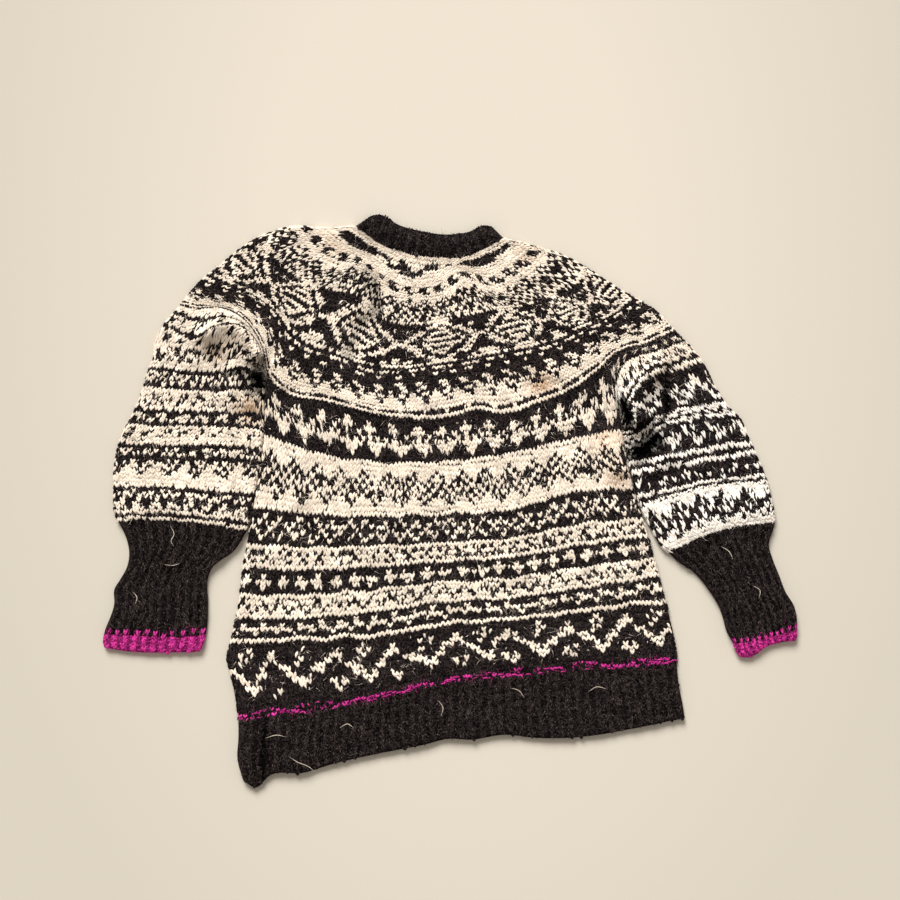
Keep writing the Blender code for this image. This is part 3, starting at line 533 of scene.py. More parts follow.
def body_row(left_side, right_side, heights):
    """A row of the body or the rib under it, from its heights in squares."""
    at_left, between, at_right = heights
    ends = []
    for side, height in ((left_side, at_left), (right_side, at_right)):
        x = np.interp(-height * SQUARE, -side.dense[:, 1], side.dense[:, 0])
        ends.append((x / SQUARE, height))
    return line([ends[0], *zip(BODY_STATIONS, between), ends[1]])


def bell(points, half_width, along, power=2):
    """1 on a line of the layout grid, falling softly to 0 beside it. A higher power
    keeps it near 1 for longer."""
    spine = line(along).dense[:: LINE_POINTS // FOLD_POINTS]
    away = lengths(points[..., None, :] - spine).min(axis=-1)
    return np.exp(-((away / (half_width * SQUARE)) ** power))


def lift(points):
    """Height of the front's folds over its plain level, at points in metres."""
    up = np.zeros(points.shape[:-1])
    for half_width, height, along in FOLDS:
        up = up + height * bell(points, half_width, along)
    return up


def hollow_shade(points):
    """How dark the painted shade in the folds' hollows is at these points, from 0 to 1."""
    light = np.ones(points.shape[:-1])
    for half_width, darkness, along in SHADED_HOLLOWS:
        light = light * (1 - darkness * bell(points, half_width, along, HOLLOW_POWER))
    return 1 - light


def crumple(points):
    """Slight unevenness of hand-knitted cloth, the same for all the walls."""
    chance = np.random.default_rng(SEED)
    up = np.zeros(points.shape[:-1])
    for _ in range(CRUMPLE_WAVES):
        way = chance.uniform(0, 2 * np.pi)
        length = chance.uniform(*CRUMPLE_LENGTHS)
        along = points @ np.array([np.cos(way), np.sin(way)])
        up = up + np.sin(2 * np.pi * along / length + chance.uniform(0, 2 * np.pi))
    return CRUMPLE_HEIGHT * up / np.sqrt(CRUMPLE_WAVES / 2)


def smooth_step(low, high, value):
    share = np.clip((value - low) / (high - low), 0, 1)
    return share * share * (3 - 2 * share)


class Surface:
    """The outside of a wall, as a dense grid that is read by shares across and down.
    depth is how far inside it the cloth shell lies."""

    def __init__(self, points, across, front, depth):
        steps = lengths(np.diff(points, axis=1))
        if across is None:
            across = running(steps.mean(axis=0)) / steps.mean(axis=0).sum()
        self.across = across
        self.front = front
        self.depth = depth
        normals = np.cross(np.gradient(points, axis=0), np.gradient(points, axis=1))
        normals = unit(normals if front else -normals)
        self.grid = np.concatenate([points, normals], axis=-1)
        self.shade = hollow_shade(points[..., :2]) if front else np.zeros(points.shape[:2])
        self.width = steps.sum(axis=1)
        self.height = lengths(np.diff(points, axis=0)).sum(axis=0).mean()

    def at(self, across, down, rise):
        """Points at a rise over the cloth shell."""
        rows, columns = self.grid.shape[:2]
        column = np.interp(across, self.across, np.arange(columns))
        row = down * (rows - 1)
        c = np.clip(np.floor(column).astype(int), 0, columns - 2)
        r = np.clip(np.floor(row).astype(int), 0, rows - 2)
        a, b = (column - c)[..., None], (row - r)[..., None]
        top = self.grid[r, c] * (1 - a) + self.grid[r, c + 1] * a
        low = self.grid[r + 1, c] * (1 - a) + self.grid[r + 1, c + 1] * a
        here = top * (1 - b) + low * b
        return here[..., :3] + here[..., 3:] * (np.asarray(rise) - self.depth)[..., None]

    def shade_at(self, across, down):
        rows, columns = self.shade.shape
        column = np.rint(np.interp(across, self.across, np.arange(columns))).astype(int)
        row = np.rint(np.clip(down, 0, 1) * (rows - 1)).astype(int)
        return self.shade[row, column]

    def shares_of(self, squares):
        """Shares across the wall where these points of the layout grid lie."""
        shares = []
        for point in squares:
            away = lengths(self.grid[..., :2] - np.array(point) * SQUARE)
            shares.append(self.across[away.argmin() % away.shape[1]])
        return np.array(shares)


def dense_columns(width, count):
    """Shares across a wall, close together round its side folds, and how far each has
    turned up from the side fold's middle."""
    angles = np.linspace(0, np.pi / 2, FOLD_STEPS + 1)
    outer = FOLD_RADIUS * (1 - np.cos(angles)) / width
    between = np.linspace(outer[-1], 1 - outer[-1], count)[1:-1]
    across = np.concatenate([outer, between, 1 - outer[::-1]])
    turned = np.concatenate([np.sin(angles), np.ones(len(between)), np.sin(angles)[::-1]])
    return across, turned


def front_surface(panel, ends=(False, False), ribs=0, forms=(0, 0)):
    across, turned = dense_columns(panel.width(), ribs * RIB_STEPS or DENSE_COLUMNS)
    down = np.linspace(0, 1, DENSE_ROWS)
    flat = panel.at(across, down)
    up = lift(flat) + crumple(flat)
    inside = np.maximum(WALL + AIR + np.clip(up, None, MOST_RISE_INSIDE), MIDDLE)
    top = np.maximum(FRONT_TOP + up, inside + THIN * WALL)
    if ribs:
        wave = 0.5 + 0.5 * np.cos(2 * np.pi * ribs * (across - 0.5 / ribs))
        top = top + RIB_RISE * wave * turned**RIB_FADE
    for open_end, from_end in ((ends[0], down), (ends[1], 1 - down)):
        if open_end:
            thin = 1 - smooth_step(0, END_ROUND / panel.height(), from_end)
            top = top - END_DROP * thin[:, None]
    formed = np.ones_like(top)
    half = len(across) // 2
    for rows_to_form, columns in ((forms[0], slice(0, half)), (forms[1], slice(half, None))):
        if rows_to_form:
            formed[:, columns] = smooth_step(0, rows_to_form, down)[:, None]
    turn = 1 - formed * (1 - turned)
    points = np.dstack([flat, MIDDLE + (top - MIDDLE) * turn])
    return Surface(points, across if ribs else None, True, FRONT_DEPTH)


def back_surface(panel, ribs=0):
    across, turned = dense_columns(panel.width(), ribs * RIB_STEPS or DENSE_COLUMNS)
    flat = panel.at(across, np.linspace(0, 1, DENSE_ROWS))
    under = np.broadcast_to(MIDDLE * (1 - turned), flat.shape[:2])
    return Surface(np.dstack([flat, under]), across if ribs else None, False, BACK_DEPTH)


def split_rim(rim):
    """The parts of the yoke's rim over the left sleeve, the body and the right sleeve."""
    begin = rim.share_of(np.array(PIT_LEFT) * SQUARE)
    end = rim.share_of(np.array(PIT_RIGHT) * SQUARE)
    return rim.part(0.0, begin), rim.part(begin, end), rim.part(end, 1.0)


def rows_between(top, rows, bottom):
    return [(0.0, top), *((share, line(row)) for share, row in rows), (1.0, bottom)]


def body_panel(rim_part):
    left, right = line(SIDE_LEFT), line(SIDE_RIGHT)
    rows = [(0.0, rim_part)]
    rows += [(share, body_row(left, right, heights)) for share, *heights in BODY_ROWS]
    rows.append((1.0, body_row(left, right, STRIPE_TOP)))
    return Panel(left, right, rows)


def hem_lines():
    """The two edges of the stripe over the hem, as lines."""
    left, between, right = STRIPE_TOP
    lower = (left - STRIPE_WIDTH, [y - STRIPE_WIDTH for y in between], right - STRIPE_WIDTH)
    return (
        body_row(line(SIDE_LEFT), line(SIDE_RIGHT), STRIPE_TOP),
        body_row(line(HEM_SIDE_LEFT), line(HEM_SIDE_RIGHT), lower),
    )


# Meshes

def add_object(name, data):
    added = bpy.data.objects.new(name, data)
    bpy.context.scene.collection.objects.link(added)
    return added


def add_piece(name, points, faces, material, values):
    """A piece from its points and its triangles or quads, with values for its material,
    and a map that looks straight down on the front and up at the back."""
    mesh = bpy.data.meshes.new(name)
    faces = np.asarray(faces, np.int32)
    count, corners = faces.shape
    mesh.vertices.add(len(points))
    mesh.vertices.foreach_set("co", points.astype(np.float32).ravel())
    mesh.loops.add(count * corners)
    mesh.loops.foreach_set("vertex_index", faces.ravel())
    mesh.polygons.add(count)
    mesh.polygons.foreach_set("loop_start", np.arange(0, count * corners, corners, np.int32))
    mesh.polygons.foreach_set("loop_total", np.full(count, corners, np.int32))
    mesh.update(calc_edges=True)
    mesh.shade_smooth()
    for key, value in values.items():
        layer = mesh.attributes.new(key, "FLOAT", "POINT")
        layer.data.foreach_set("value", np.asarray(value, np.float32))
    low, high = points.min(axis=0), points.max(axis=0)
    flat = (points[:, :2] - low[:2]) / (high - low)[:2].max()
    middle = points[faces].mean(axis=1)
    under = (middle[:, 2] < MIDDLE)[:, None, None]
    spots = flat[faces] * np.array([0.5, 1.0]) + under * np.array([0.5, 0.0])
    layer = mesh.uv_layers.new(name="OFBake")
    layer.data.foreach_set("uv", spots.astype(np.float32).ravel())
    mesh.materials.append(material)
    piece = add_object(name, mesh)
    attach(piece, "root")
    return piece


def add_tube(name, front, back, material, ribs):
    """The cloth shell of a tube: its outside over its inside, closed at both ends."""
    rows = max(2, round(front.height / SHELL_STEP)) + 1
    columns = round(front.width.mean() / SHELL_STEP) + 1
    columns = max(columns, ribs * SHELL_RIB_STEPS + 1)
    across = np.linspace(0, 1, columns)
    grid = np.meshgrid(across, np.linspace(0, 1, rows))
    turned_back = np.meshgrid(across[::-1], np.linspace(0, 1, rows))
    layers = []
    for inward in (0.0, -SHELL):
        rise = np.full(grid[0].shape, inward)
        round_it = [front.at(*grid, rise), back.at(*turned_back, rise)]
        layers.append(np.concatenate(round_it, axis=1).reshape(-1, 3))
    wide = 2 * columns
    count = rows * wide
    r, c = np.meshgrid(np.arange(rows - 1), np.arange(wide), indexing="ij")
    a, d = r * wide + c, r * wide + (c + 1) % wide
    quads = np.stack([a, a + wide, d + wide, d], axis=-1).reshape(-1, 4)
    first = np.arange(wide)
    second = (first + 1) % wide
    last = (rows - 1) * wide
    faces = np.concatenate([
        quads,
        quads[:, ::-1] + count,
        np.stack([first, second, second + count, first + count], axis=-1),
        np.stack([first, first + count, second + count, second], axis=-1) + last,
    ])
    shade = np.concatenate([front.shade_at(*grid), back.shade_at(*turned_back)], axis=1)
    values = {"shade": np.tile(shade.ravel(), 2)}
    tube = add_piece(f"{name}_cloth", np.concatenate(layers), faces, material, values)
    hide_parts(f"{name}_front", f"{name}_back")
    return tube


# Knitting

# A strand's stations in shares of its stitch, from one tip to the other. The half width
# lies across a leg and along a bump, and the height is a share of the stitches' rise.
LEG_FRONT = [
    # across, down, half width, height
    (0.03, 0.64, 0.00, 0.25),
    (0.10, 0.36, 0.20, 0.90),
    (0.22, -0.02, 0.26, 1.00),
    (0.32, -0.36, 0.21, 0.70),
    (0.40, -0.60, 0.00, 0.10),
]
LEG_BACK = [
    (0.03, 0.62, 0.00, 0.30),
    (0.12, 0.28, 0.18, 0.95),
    (0.28, -0.26, 0.17, 0.90),
    (0.37, -0.60, 0.00, 0.20),
]
BUMP = [
    (-0.66, 0.24, 0.00, 0.20),
    (-0.34, -0.02, 0.22, 0.85),
    (0.00, -0.10, 0.26, 1.00),
    (0.34, -0.02, 0.22, 0.85),
    (0.66, 0.24, 0.00, 0.20),
]
EDGE_HEIGHT = 0.12  # height of a strand's edges, as a share of its own
EDGE_SHADE_TONE = 0.5  # painted shade on a strand's edges, where they dip between strands
# painted shade on a strand's tips
TIP_SHADE_TONE = 0.70
# painted shade on the ground of a stitch, between and under its legs
PLATE_SHADE_TONE = 0.45
PLATE_HALF = 0.53

SHIFT_ACROSS = 0.09  # unevenness of the stitches, in shares of a stitch
SHIFT_DOWN = 0.13
SIZE_SPREAD = 0.12
CREAM_SIZE = 1.13  # the cream yarn is the thicker one
RISE_SPREAD = 0.22
TONE_SPREAD = 0.18
HEM_PURL_TONE = 0.65  # the wool between ribs lies in their shade
CUFF_PURL_TONE = 0.55
NECK_PURL_TONE = 0.7
EDGE_PURL_TONE = 0.4
DRIFT = 0.20  # slow wandering of the columns and rows
DRIFT_WAVES = 8
DRIFT_TURNS = 14  # most turns of a wave across or down a wall
STRIPE_SWAY = 3.0  # how much more the stripe over the hem drifts
MIXED_LEGS = 0.17  # chance that the yarn beside a stitch takes one of its legs

FUZZ_TONE = 1.1
FUZZ_TONES = (0.8, 1.2)  # from fibre to fibre
FUZZ_RISES = (0.5, 1.0)  # heights of the roots, as shares of the stitches' rise
FUZZ_SPAN = 0.002  # share of a wall's width over which its way across is read
FUZZ_BEND = 0.6  # most bend of a fibre, as a share of its length
FUZZ_STANDS = (0.05, 0.45)  # how far fibres stand up
FUZZ_ARCH = 1.4
FUZZ_LOWEST = 0.0002  # height over the ground, in metres
STRAY_STEPS = (2, 7)  # how many stitches away
GREYS = 0.4  # share of the charcoal yarn's fibres that are grey
FUZZ_STRAYS = 0.3  # chance that a fibre comes from the yarn of another stitch near by
PEEKS = 0.3  # share of fibres that are short, thick and low, as yarn between stitches
PEEK_LENGTHS = (0.002, 0.0045)
PEEK_WIDTH = 0.00035
FUZZ_DENSITY = 70000  # fibres that stand off a square metre of a patterned front wall
RIB_FUZZ_DENSITY = 110000
RIB_FUZZ_SPREAD = 0.7  # how far, in radians, fibres on ribs lean from the ribs' way
FUZZ_WIDTH = 0.00013  # half width of a fibre at its root
FUZZ_LENGTHS = (0.003, 0.011)
FUZZ_STEPS = np.array([0.0, 0.55, 1.0])
FUZZ_FACES = np.array([(0, 1, 3), (0, 3, 2), (1, 4, 3)])  # two rings of two points, a tip
HAIR_STEPS = 14
HAIR_WIDTH = 0.0003
HAIR_RISE = 0.0016
HAIR_TONE = 0.6
HAIR_TIP = 0.1  # in radians of the sine that shapes a hair's width


def strand(stations, lengthways):
    """Places, height shares and tones of a half-round strand's points, and its triangles: a tip,
    rings of three points, and the other tip. The tones paint shade on the strand's edges and tips."""
    places, heights, tones = [], [], []
    for across, down, half, height in stations:
        if half == 0:
            places.append((across, down))
            heights.append(height)
            tones.append(TIP_SHADE_TONE)
            continue
        for side in (-1, 0, 1):
            aside = (0, side * half) if lengthways else (side * half, 0)
            places.append((across + aside[0], down + aside[1]))
            heights.append(height if side == 0 else height * EDGE_HEIGHT)
            tones.append(1.0 if side == 0 else EDGE_SHADE_TONE)
    rings = len(stations) - 2
    faces = [(0, 2, 1), (0, 3, 2)]
    for ring in range(rings - 1):
        e, c, f = (1 + 3 * ring + k for k in range(3))
        faces += [(e, c, c + 3), (e, c + 3, e + 3), (c, f, f + 3), (c, f + 3, c + 3)]
    e, c, f = (1 + 3 * (rings - 1) + k for k in range(3))
    faces += [(e, c, f + 1), (c, f, f + 1)]
    return np.array(places), np.array(heights), np.array(tones), np.array(faces)


def mirrored(shape):
    places, heights, tones, faces = shape
    return places * np.array([-1, 1]), heights, tones, faces[:, ::-1]


def plate():
    """The flat ground of a stitch in its own yarn, darkened with painted shade."""
    places = np.array([(-1, -1), (-1, 1), (1, 1), (1, -1)]) * PLATE_HALF
    return places, np.zeros(4), np.full(4, PLATE_SHADE_TONE), np.array([(0, 1, 2), (0, 2, 3)])


def join_plan(parts, total, purl_tone=1.0, sway=1.0):
    """A wall's stitches from (across, row, width, yarns, whether knit, yarns of the
    ground) of its rows."""
    sizes = [len(part[0]) for part in parts]
    return {
        "across": np.concatenate([part[0] for part in parts]),
        "down": np.repeat([(part[1] + 0.5) / total for part in parts], sizes),
        "wide": np.repeat([part[2] for part in parts], sizes),
        "high": 1 / total,
        "yarn": np.concatenate([part[3] for part in parts]),
        "knit": np.repeat([part[4] for part in parts], sizes),
        "ground": np.concatenate([part[5] for part in parts]),
        "purl_tone": purl_tone,
        "sway": sway,
    }


def repeats_at(across, marks):
    """Counts a pattern's repeats across, where each mark begins the next one."""
    marks = np.array([2 * marks[0] - marks[1], *marks, 2 * marks[-1] - marks[-2]])
    return np.interp(across, marks, np.arange(len(marks)))


def chart_plan(tiers, marks):
    """All stitches of a patterned wall. marks holds, for a row's repeat in stitches,
    where across the wall its repeats begin."""
    total = sum(len(chart) for _, chart in tiers)
    parts, row = [], 0
    for stitches, chart in tiers:
        columns = np.arange(stitches)
        across = (columns + 0.5) / stitches
        yarns = []
        for pattern in chart:
            place = columns
            if len(pattern) in marks:
                place = (repeats_at(across, marks[len(pattern)]) * len(pattern)).astype(int)
            yarns.append(np.array(list(pattern))[place % len(pattern)])
        for yarn, under in zip(yarns, grounds_of(np.array(yarns))):
            parts.append((across, row, 1 / stitches, yarn, True, under))
            row += 1
    return join_plan(parts, total)


def neighbours(yarns):
    """The yarns above, below, left and right of each stitch."""
    framed = np.pad(yarns, 1, mode="edge")
    return framed[:-2, 1:-1], framed[2:, 1:-1], framed[1:-1, :-2], framed[1:-1, 2:]


def grounds_of(yarns):
    """The yarn of the ground under each stitch: charcoal, except amid its own yarn."""
    amid = np.all([side == yarns for side in neighbours(yarns)], axis=0)
    return np.where(amid, yarns, "x")


def rib_plan(ribs, rows, yarn, purl_tone, last=None):
    """Columns of knit stitches on the ribs and of purl bumps between them. The knit
    stitches of the last row may have a yarn of their own."""
    knit = (np.arange(ribs) + 0.5) / ribs
    purl = np.arange(1, ribs) / ribs
    parts = []
    for row in range(rows):
        for across, is_knit in ((knit, True), (purl, False)):
            own = last and is_knit and row == rows - 1
            yarns = np.full(len(across), last if own else yarn)
            parts.append((across, row, 0.5 / ribs, yarns, is_knit, yarns))
    return join_plan(parts, rows, purl_tone)


def stripe_plan(stitches, shares, chance):
    """Rows of stitches and bumps in magenta and charcoal yarn, with the share of magenta
    in each."""
    across = (np.arange(stitches) + 0.5) / stitches
    parts = []
    for row, share in enumerate(shares):
        yarn = np.where(chance.random(stitches) < share, "m", "x")
        knitted = chance.random(stitches) < STRIPE_KNIT
        for is_knit in (True, False):
            here = knitted == is_knit
            parts.append((across[here], row, 1 / stitches, yarn[here], is_knit,
                          np.full(here.sum(), "x")))
    return join_plan(parts, len(shares), sway=STRIPE_SWAY)


def wander(plan, chance):
    """Slow drift of the stitches, in shares of a stitch."""
    drift = np.zeros(len(plan["across"]))
    for _ in range(DRIFT_WAVES):
        turns = chance.uniform(-DRIFT_TURNS, DRIFT_TURNS, 2)
        phase = chance.uniform(0, 2 * np.pi)
        drift += np.sin(2 * np.pi * (turns[0] * plan["across"] + turns[1] * plan["down"]) + phase)
    return plan["sway"] * DRIFT * drift / np.sqrt(DRIFT_WAVES / 2)


def tan_amount(points):
    """How far the tan spots turn the wool browner at these points."""
    tan_share = np.zeros(points.shape[:-1])
    for x, y, radius, strength in TAN_SPOTS:
        away = np.hypot(points[..., 0] - x * SQUARE, points[..., 1] - y * SQUARE)
        tan_share = tan_share + strength * np.exp(-((away / (radius * SQUARE)) ** 2))
    return np.clip(tan_share, 0, 1)


class Yarns:
    """Collects a tube's strands by yarn, and makes one piece of each."""

    def __init__(self, cool_light):
        self.cool_light = cool_light
        self.parts = {}

    def add(self, yarn, points, faces, tone, shade):
        """points are (strands, points of one, 3), and faces are those of one."""
        shade = shade * np.ones_like(tone)
        self.parts.setdefault(yarn, []).append((points, faces, tone, shade))

    def make(self, name, wools):
        pieces = []
        for yarn, parts in sorted(self.parts.items()):
            faces, start = [], 0
            for block, shape, _, _ in parts:
                strands, each = block.shape[:2]
                offsets = start + np.arange(strands)[:, None, None] * each
                faces.append((shape[None] + offsets).reshape(-1, 3))
                start += strands * each
            points = np.concatenate([part[0].reshape(-1, 3) for part in parts])
            values = {
                "tone": np.concatenate([part[2].reshape(-1) for part in parts]),
                "shade": np.concatenate([part[3].reshape(-1) for part in parts]),
                "tan_share": tan_amount(points),
                # painted cool light on the right sleeve, fading out upwards
                "cool_light": self.cool_light * (1 - smooth_step(*COOL_LIGHT_SPAN, points[:, 1] / SQUARE)),
            }
            colour, slot = YARNS[yarn]
            pieces.append(add_piece(f"{name}_{colour}", points, np.concatenate(faces),
                                    wools[colour], values))
        return pieces


def knit(yarns, surface, plan, chance):
    """Adds a wall's stitches: two legs or a bump each, over a flat ground."""
    count = len(plan["across"])
    leg = strand(LEG_FRONT if surface.front else LEG_BACK, False)
    bump = strand(BUMP, True)
    shift_across = SHIFT_ACROSS * chance.standard_normal(count) + wander(plan, chance)
    shift_down = SHIFT_DOWN * chance.standard_normal(count) + wander(plan, chance)
    size = np.where(plan["yarn"] == ".", CREAM_SIZE, 1.0)
    size = size + SIZE_SPREAD * chance.uniform(-1, 1, count)
    left_leg, right_leg = plan["yarn"].copy(), plan["yarn"].copy()
    for legs, step in ((left_leg, 1), (right_leg, -1)):
        mixed = plan["knit"] & (chance.random(count) < MIXED_LEGS)
        legs[mixed] = np.roll(plan["yarn"], step)[mixed]
    rise = np.full(count, BACK_RISE)
    if surface.front:
        rise = FRONT_RISE * (1 + RISE_SPREAD * chance.uniform(-1, 1, count))
    tone = 1 + TONE_SPREAD * chance.standard_normal(count)
    tone[~plan["knit"]] *= plan["purl_tone"]
    shapes = [
        # shape, which stitches have it, its yarns, whether it shifts with its stitch
        (plate(), np.full(count, surface.front), plan["ground"], 0),
        (leg, plan["knit"], right_leg, 1),
        (mirrored(leg), plan["knit"], left_leg, 1),
        (bump, ~plan["knit"], plan["yarn"], 1),
    ]
    for (places, heights, tones, faces), chosen, of_yarn, shifts in shapes:
        for yarn in np.unique(of_yarn[chosen]):
            here = chosen & (of_yarn == yarn)
            grow = np.where(shifts, size[here], 1.0)[:, None]
            steps_across = places[:, 0] * grow + shifts * shift_across[here][:, None]
            steps_down = places[:, 1] * grow + shifts * shift_down[here][:, None]
            across = plan["across"][here][:, None] + steps_across * plan["wide"][here][:, None]
            down = plan["down"][here][:, None] + steps_down * plan["high"]
            lifted = PLATE_RISE + heights * rise[here][:, None]
            points = surface.at(np.clip(across, 0, 1), down, lifted)
            turned = faces if surface.front else faces[:, ::-1]
            shade = surface.shade_at(plan["across"][here], plan["down"][here])[:, None]
            yarns.add(yarn, points, turned, tones * tone[here][:, None], shade)


def loose_hairs(yarns, surface, lines):
    """Long hairs that lie loose on a front wall, along lines in squares."""
    for along in lines:
        way = line(along)
        spine = way.at(np.linspace(0, 1, HAIR_STEPS))
        ahead = unit(np.gradient(spine, axis=0))
        aside = np.stack([-ahead[:, 1], ahead[:, 0]], axis=-1) * HAIR_WIDTH
        width = np.sin(np.linspace(HAIR_TIP, np.pi - HAIR_TIP, HAIR_STEPS))[:, None]
        near = lengths(surface.grid[..., :2] - spine[HAIR_STEPS // 2])
        top = surface.grid[..., 2].flat[near.argmin()] + HAIR_RISE
        flat = np.concatenate([spine - aside * width, spine + aside * width])
        points = np.column_stack([flat, np.full(2 * HAIR_STEPS, top)])
        k = np.arange(HAIR_STEPS - 1)
        faces = np.concatenate([
            np.stack([k, k + 1, HAIR_STEPS + k + 1], axis=-1),
            np.stack([k, HAIR_STEPS + k + 1, HAIR_STEPS + k], axis=-1),
        ])
        tone = np.full((1, 2 * HAIR_STEPS), HAIR_TONE)
        yarns.add(".", points[None], faces, tone, 0.0)


def fuzz(yarns, surface, plan, chance):
    """Fine fibres that stand off a wall, each in the yarn of the stitch it grows from."""
    density = FUZZ_DENSITY if "." in plan["yarn"] else RIB_FUZZ_DENSITY
    count = int(density * surface.width.mean() * surface.height)
    stitch = chance.integers(0, len(plan["across"]), count)
    across = plan["across"][stitch] + plan["wide"][stitch] * chance.uniform(-0.5, 0.5, count)
    across = np.clip(across, FUZZ_SPAN, 1 - FUZZ_SPAN)
    down = plan["down"][stitch] + plan["high"] * chance.uniform(-0.5, 0.5, count)
    rise = FRONT_RISE * chance.uniform(*FUZZ_RISES, count)
    root = surface.at(across, down, rise)
    ahead = surface.at(across + FUZZ_SPAN, down, rise)
    along = unit(ahead - surface.at(across - FUZZ_SPAN, down, rise))
    up = unit(surface.at(across, down, rise + WALL) - root)
    angle = chance.uniform(0, 2 * np.pi, (count, 1))
    if not plan["knit"].all():
        lengthways = np.pi / 2 * np.sign(chance.uniform(-1, 1, (count, 1)))
        angle = lengthways + RIB_FUZZ_SPREAD * chance.standard_normal((count, 1))
    third = np.cross(along, up)
    way = np.cos(angle) * along + np.sin(angle) * third
    aside = -np.sin(angle) * along + np.cos(angle) * third
    each = (count, 1, 1)
    peek = chance.random(each) < PEEKS
    length = np.where(peek, chance.uniform(*PEEK_LENGTHS, each),
                      chance.uniform(*FUZZ_LENGTHS, each))
    bend = chance.uniform(-FUZZ_BEND, FUZZ_BEND, each)
    stand = chance.uniform(*FUZZ_STANDS, each)
    steps = FUZZ_STEPS[None, :, None]
    spine = root[:, None] + length * (
        steps * way[:, None] + bend * steps**2 * aside[:, None]
        + stand * steps * (FUZZ_ARCH - steps) * up[:, None]
    )
    width = np.where(peek, PEEK_WIDTH, FUZZ_WIDTH)
    half = width * (1 - FUZZ_STEPS)[None, :, None] * aside[:, None]
    points = np.concatenate([(spine - half)[:, :-1], (spine + half)[:, :-1],
                             spine[:, -1:]], axis=1)
    points[..., 2] = np.maximum(points[..., 2], FUZZ_LOWEST)
    tone = FUZZ_TONE * chance.uniform(*FUZZ_TONES, (count, 1)) * np.ones(len(points[0]))
    shade = surface.shade_at(across, down)[:, None]
    strayed = (stitch + chance.integers(*STRAY_STEPS, count)) % len(plan["yarn"])
    source = np.where(chance.random(count) < FUZZ_STRAYS, strayed, stitch)
    of_yarn = plan["yarn"][source]
    of_yarn[(of_yarn == "x") & (chance.random(count) < GREYS)] = "g"
    for yarn in np.unique(of_yarn):
        here = of_yarn == yarn
        yarns.add(yarn, points[here], FUZZ_FACES, tone[here], shade[here])


# Materials

WOOLS = {
    # name of the material, its two colours, how far the tone, with its painted shade on a strand's
    # edges, tips and ground, darkens it
    "cream": ("cream_wool", CREAM, CREAM_FAR, 0.5),
    "charcoal": ("charcoal_wool", CHARCOAL, CHARCOAL_FAR, 1.0),
    "magenta": ("magenta_wool", MAGENTA, MAGENTA_FAR, 0.9),
    "grey": ("grey_hair", GREY, GREY_FAR, 0.5),
}
GROUNDS = {
    # dark: the yarn carried behind the stitches, with painted shade in the gaps
    "mixed": ("floats_in_shade", FLOATS_IN_SHADE, CHARCOAL_FAR),
    "dark": ("charcoal_ground", CHARCOAL, CHARCOAL_FAR),
    "magenta": ("magenta_ground", MAGENTA_FAR, MAGENTA),
}
NOISES = {
    # scale, detail, the span that counts, what it becomes
    "wool fibres": (520, 5, 0.38, 0.62, 0, 1),
    "clouds": (45, 2, 0.35, 0.65, 0.88, 1.08),
    "blush": (160, 2, 0.52, 0.75, 0, 0.5),
    "tan patches": (220, 2, 0.3, 0.6, 0.2, 1),
    "ground fibres": (900, 3, 0.35, 0.65, 0, 1),
    "paper grain": (700, 3, 0.3, 0.7, 0, 1),
}
WOOL_ROUGHNESS = 0.95
WOOL_GLOSS = 0.02
PAPER_ROUGHNESS = 0.8
PAPER_GLOSS = 0.2
WOOL_BUMP = (0.5, 0.0004)  # strength, and height in metres
GROUND_BUMP = (0.6, 0.0005)
BRIGHTEST_TONE = 1.5


def add_node(tree, kind, values=None, **settings):
    """A shader node. values are its inputs: numbers, colours, or outputs of other nodes."""
    node = tree.nodes.new("ShaderNode" + kind)
    for key, value in settings.items():
        setattr(node, key, value)
    for key, value in (values or {}).items():
        socket = node.inputs[key]
        if isinstance(value, bpy.types.NodeSocket):
            tree.links.new(value, socket)
        else:
            socket.default_value = (*value, 1) if socket.type == "RGBA" else value
    return node


def add_range(tree, value, low, high, to_low, to_high):
    spread = add_node(tree, "MapRange", {"Value": value, "From Min": low, "From Max": high,
                                         "To Min": to_low, "To Max": to_high})
    return spread.outputs["Result"]


def add_noise(tree, name):
    scale, detail, *spans = NOISES[name]
    place = add_node(tree, "TexCoord").outputs["Object"]
    noise = add_node(tree, "TexNoise", {"Vector": place, "Scale": scale, "Detail": detail})
    return add_range(tree, noise.outputs["Fac"], *spans)


def add_mix(tree, share, first, second, blend="MIX"):
    mix = add_node(tree, "Mix", {0: share, 6: first, 7: second}, data_type="RGBA",
                   blend_type=blend)
    return mix.outputs[2]


def attribute(tree, name):
    return add_node(tree, "Attribute", attribute_name=name).outputs["Fac"]


def multiply(tree, colour, value):
    """A colour times a grey value."""
    grey = add_node(tree, "CombineColor", dict.fromkeys(("Red", "Green", "Blue"), value))
    return add_mix(tree, 1.0, colour, grey.outputs["Color"], "MULTIPLY")


def new_material(name, roughness, gloss):
    material = bpy.data.materials.new(name)
    material.use_nodes = True
    tree = material.node_tree
    shader = tree.nodes["Principled BSDF"]
    shader.inputs["Roughness"].default_value = roughness
    shader.inputs["Specular IOR Level"].default_value = gloss
    return material, tree, shader


def finish_wool(material, tree, shader, colour, fibres, relief):
    """Darkens wool by the painted shade in the hollows, and gives it the relief of its fibres."""
    light = add_range(tree, attribute(tree, "shade"), 0, 1, 1, 0)
    tree.links.new(multiply(tree, colour, light), shader.inputs["Base Color"])
    strength, distance = relief
    bump = add_node(tree, "Bump", {"Strength": strength, "Distance": distance,
                                   "Height": fibres})
    tree.links.new(bump.outputs["Normal"], shader.inputs["Normal"])
    return material


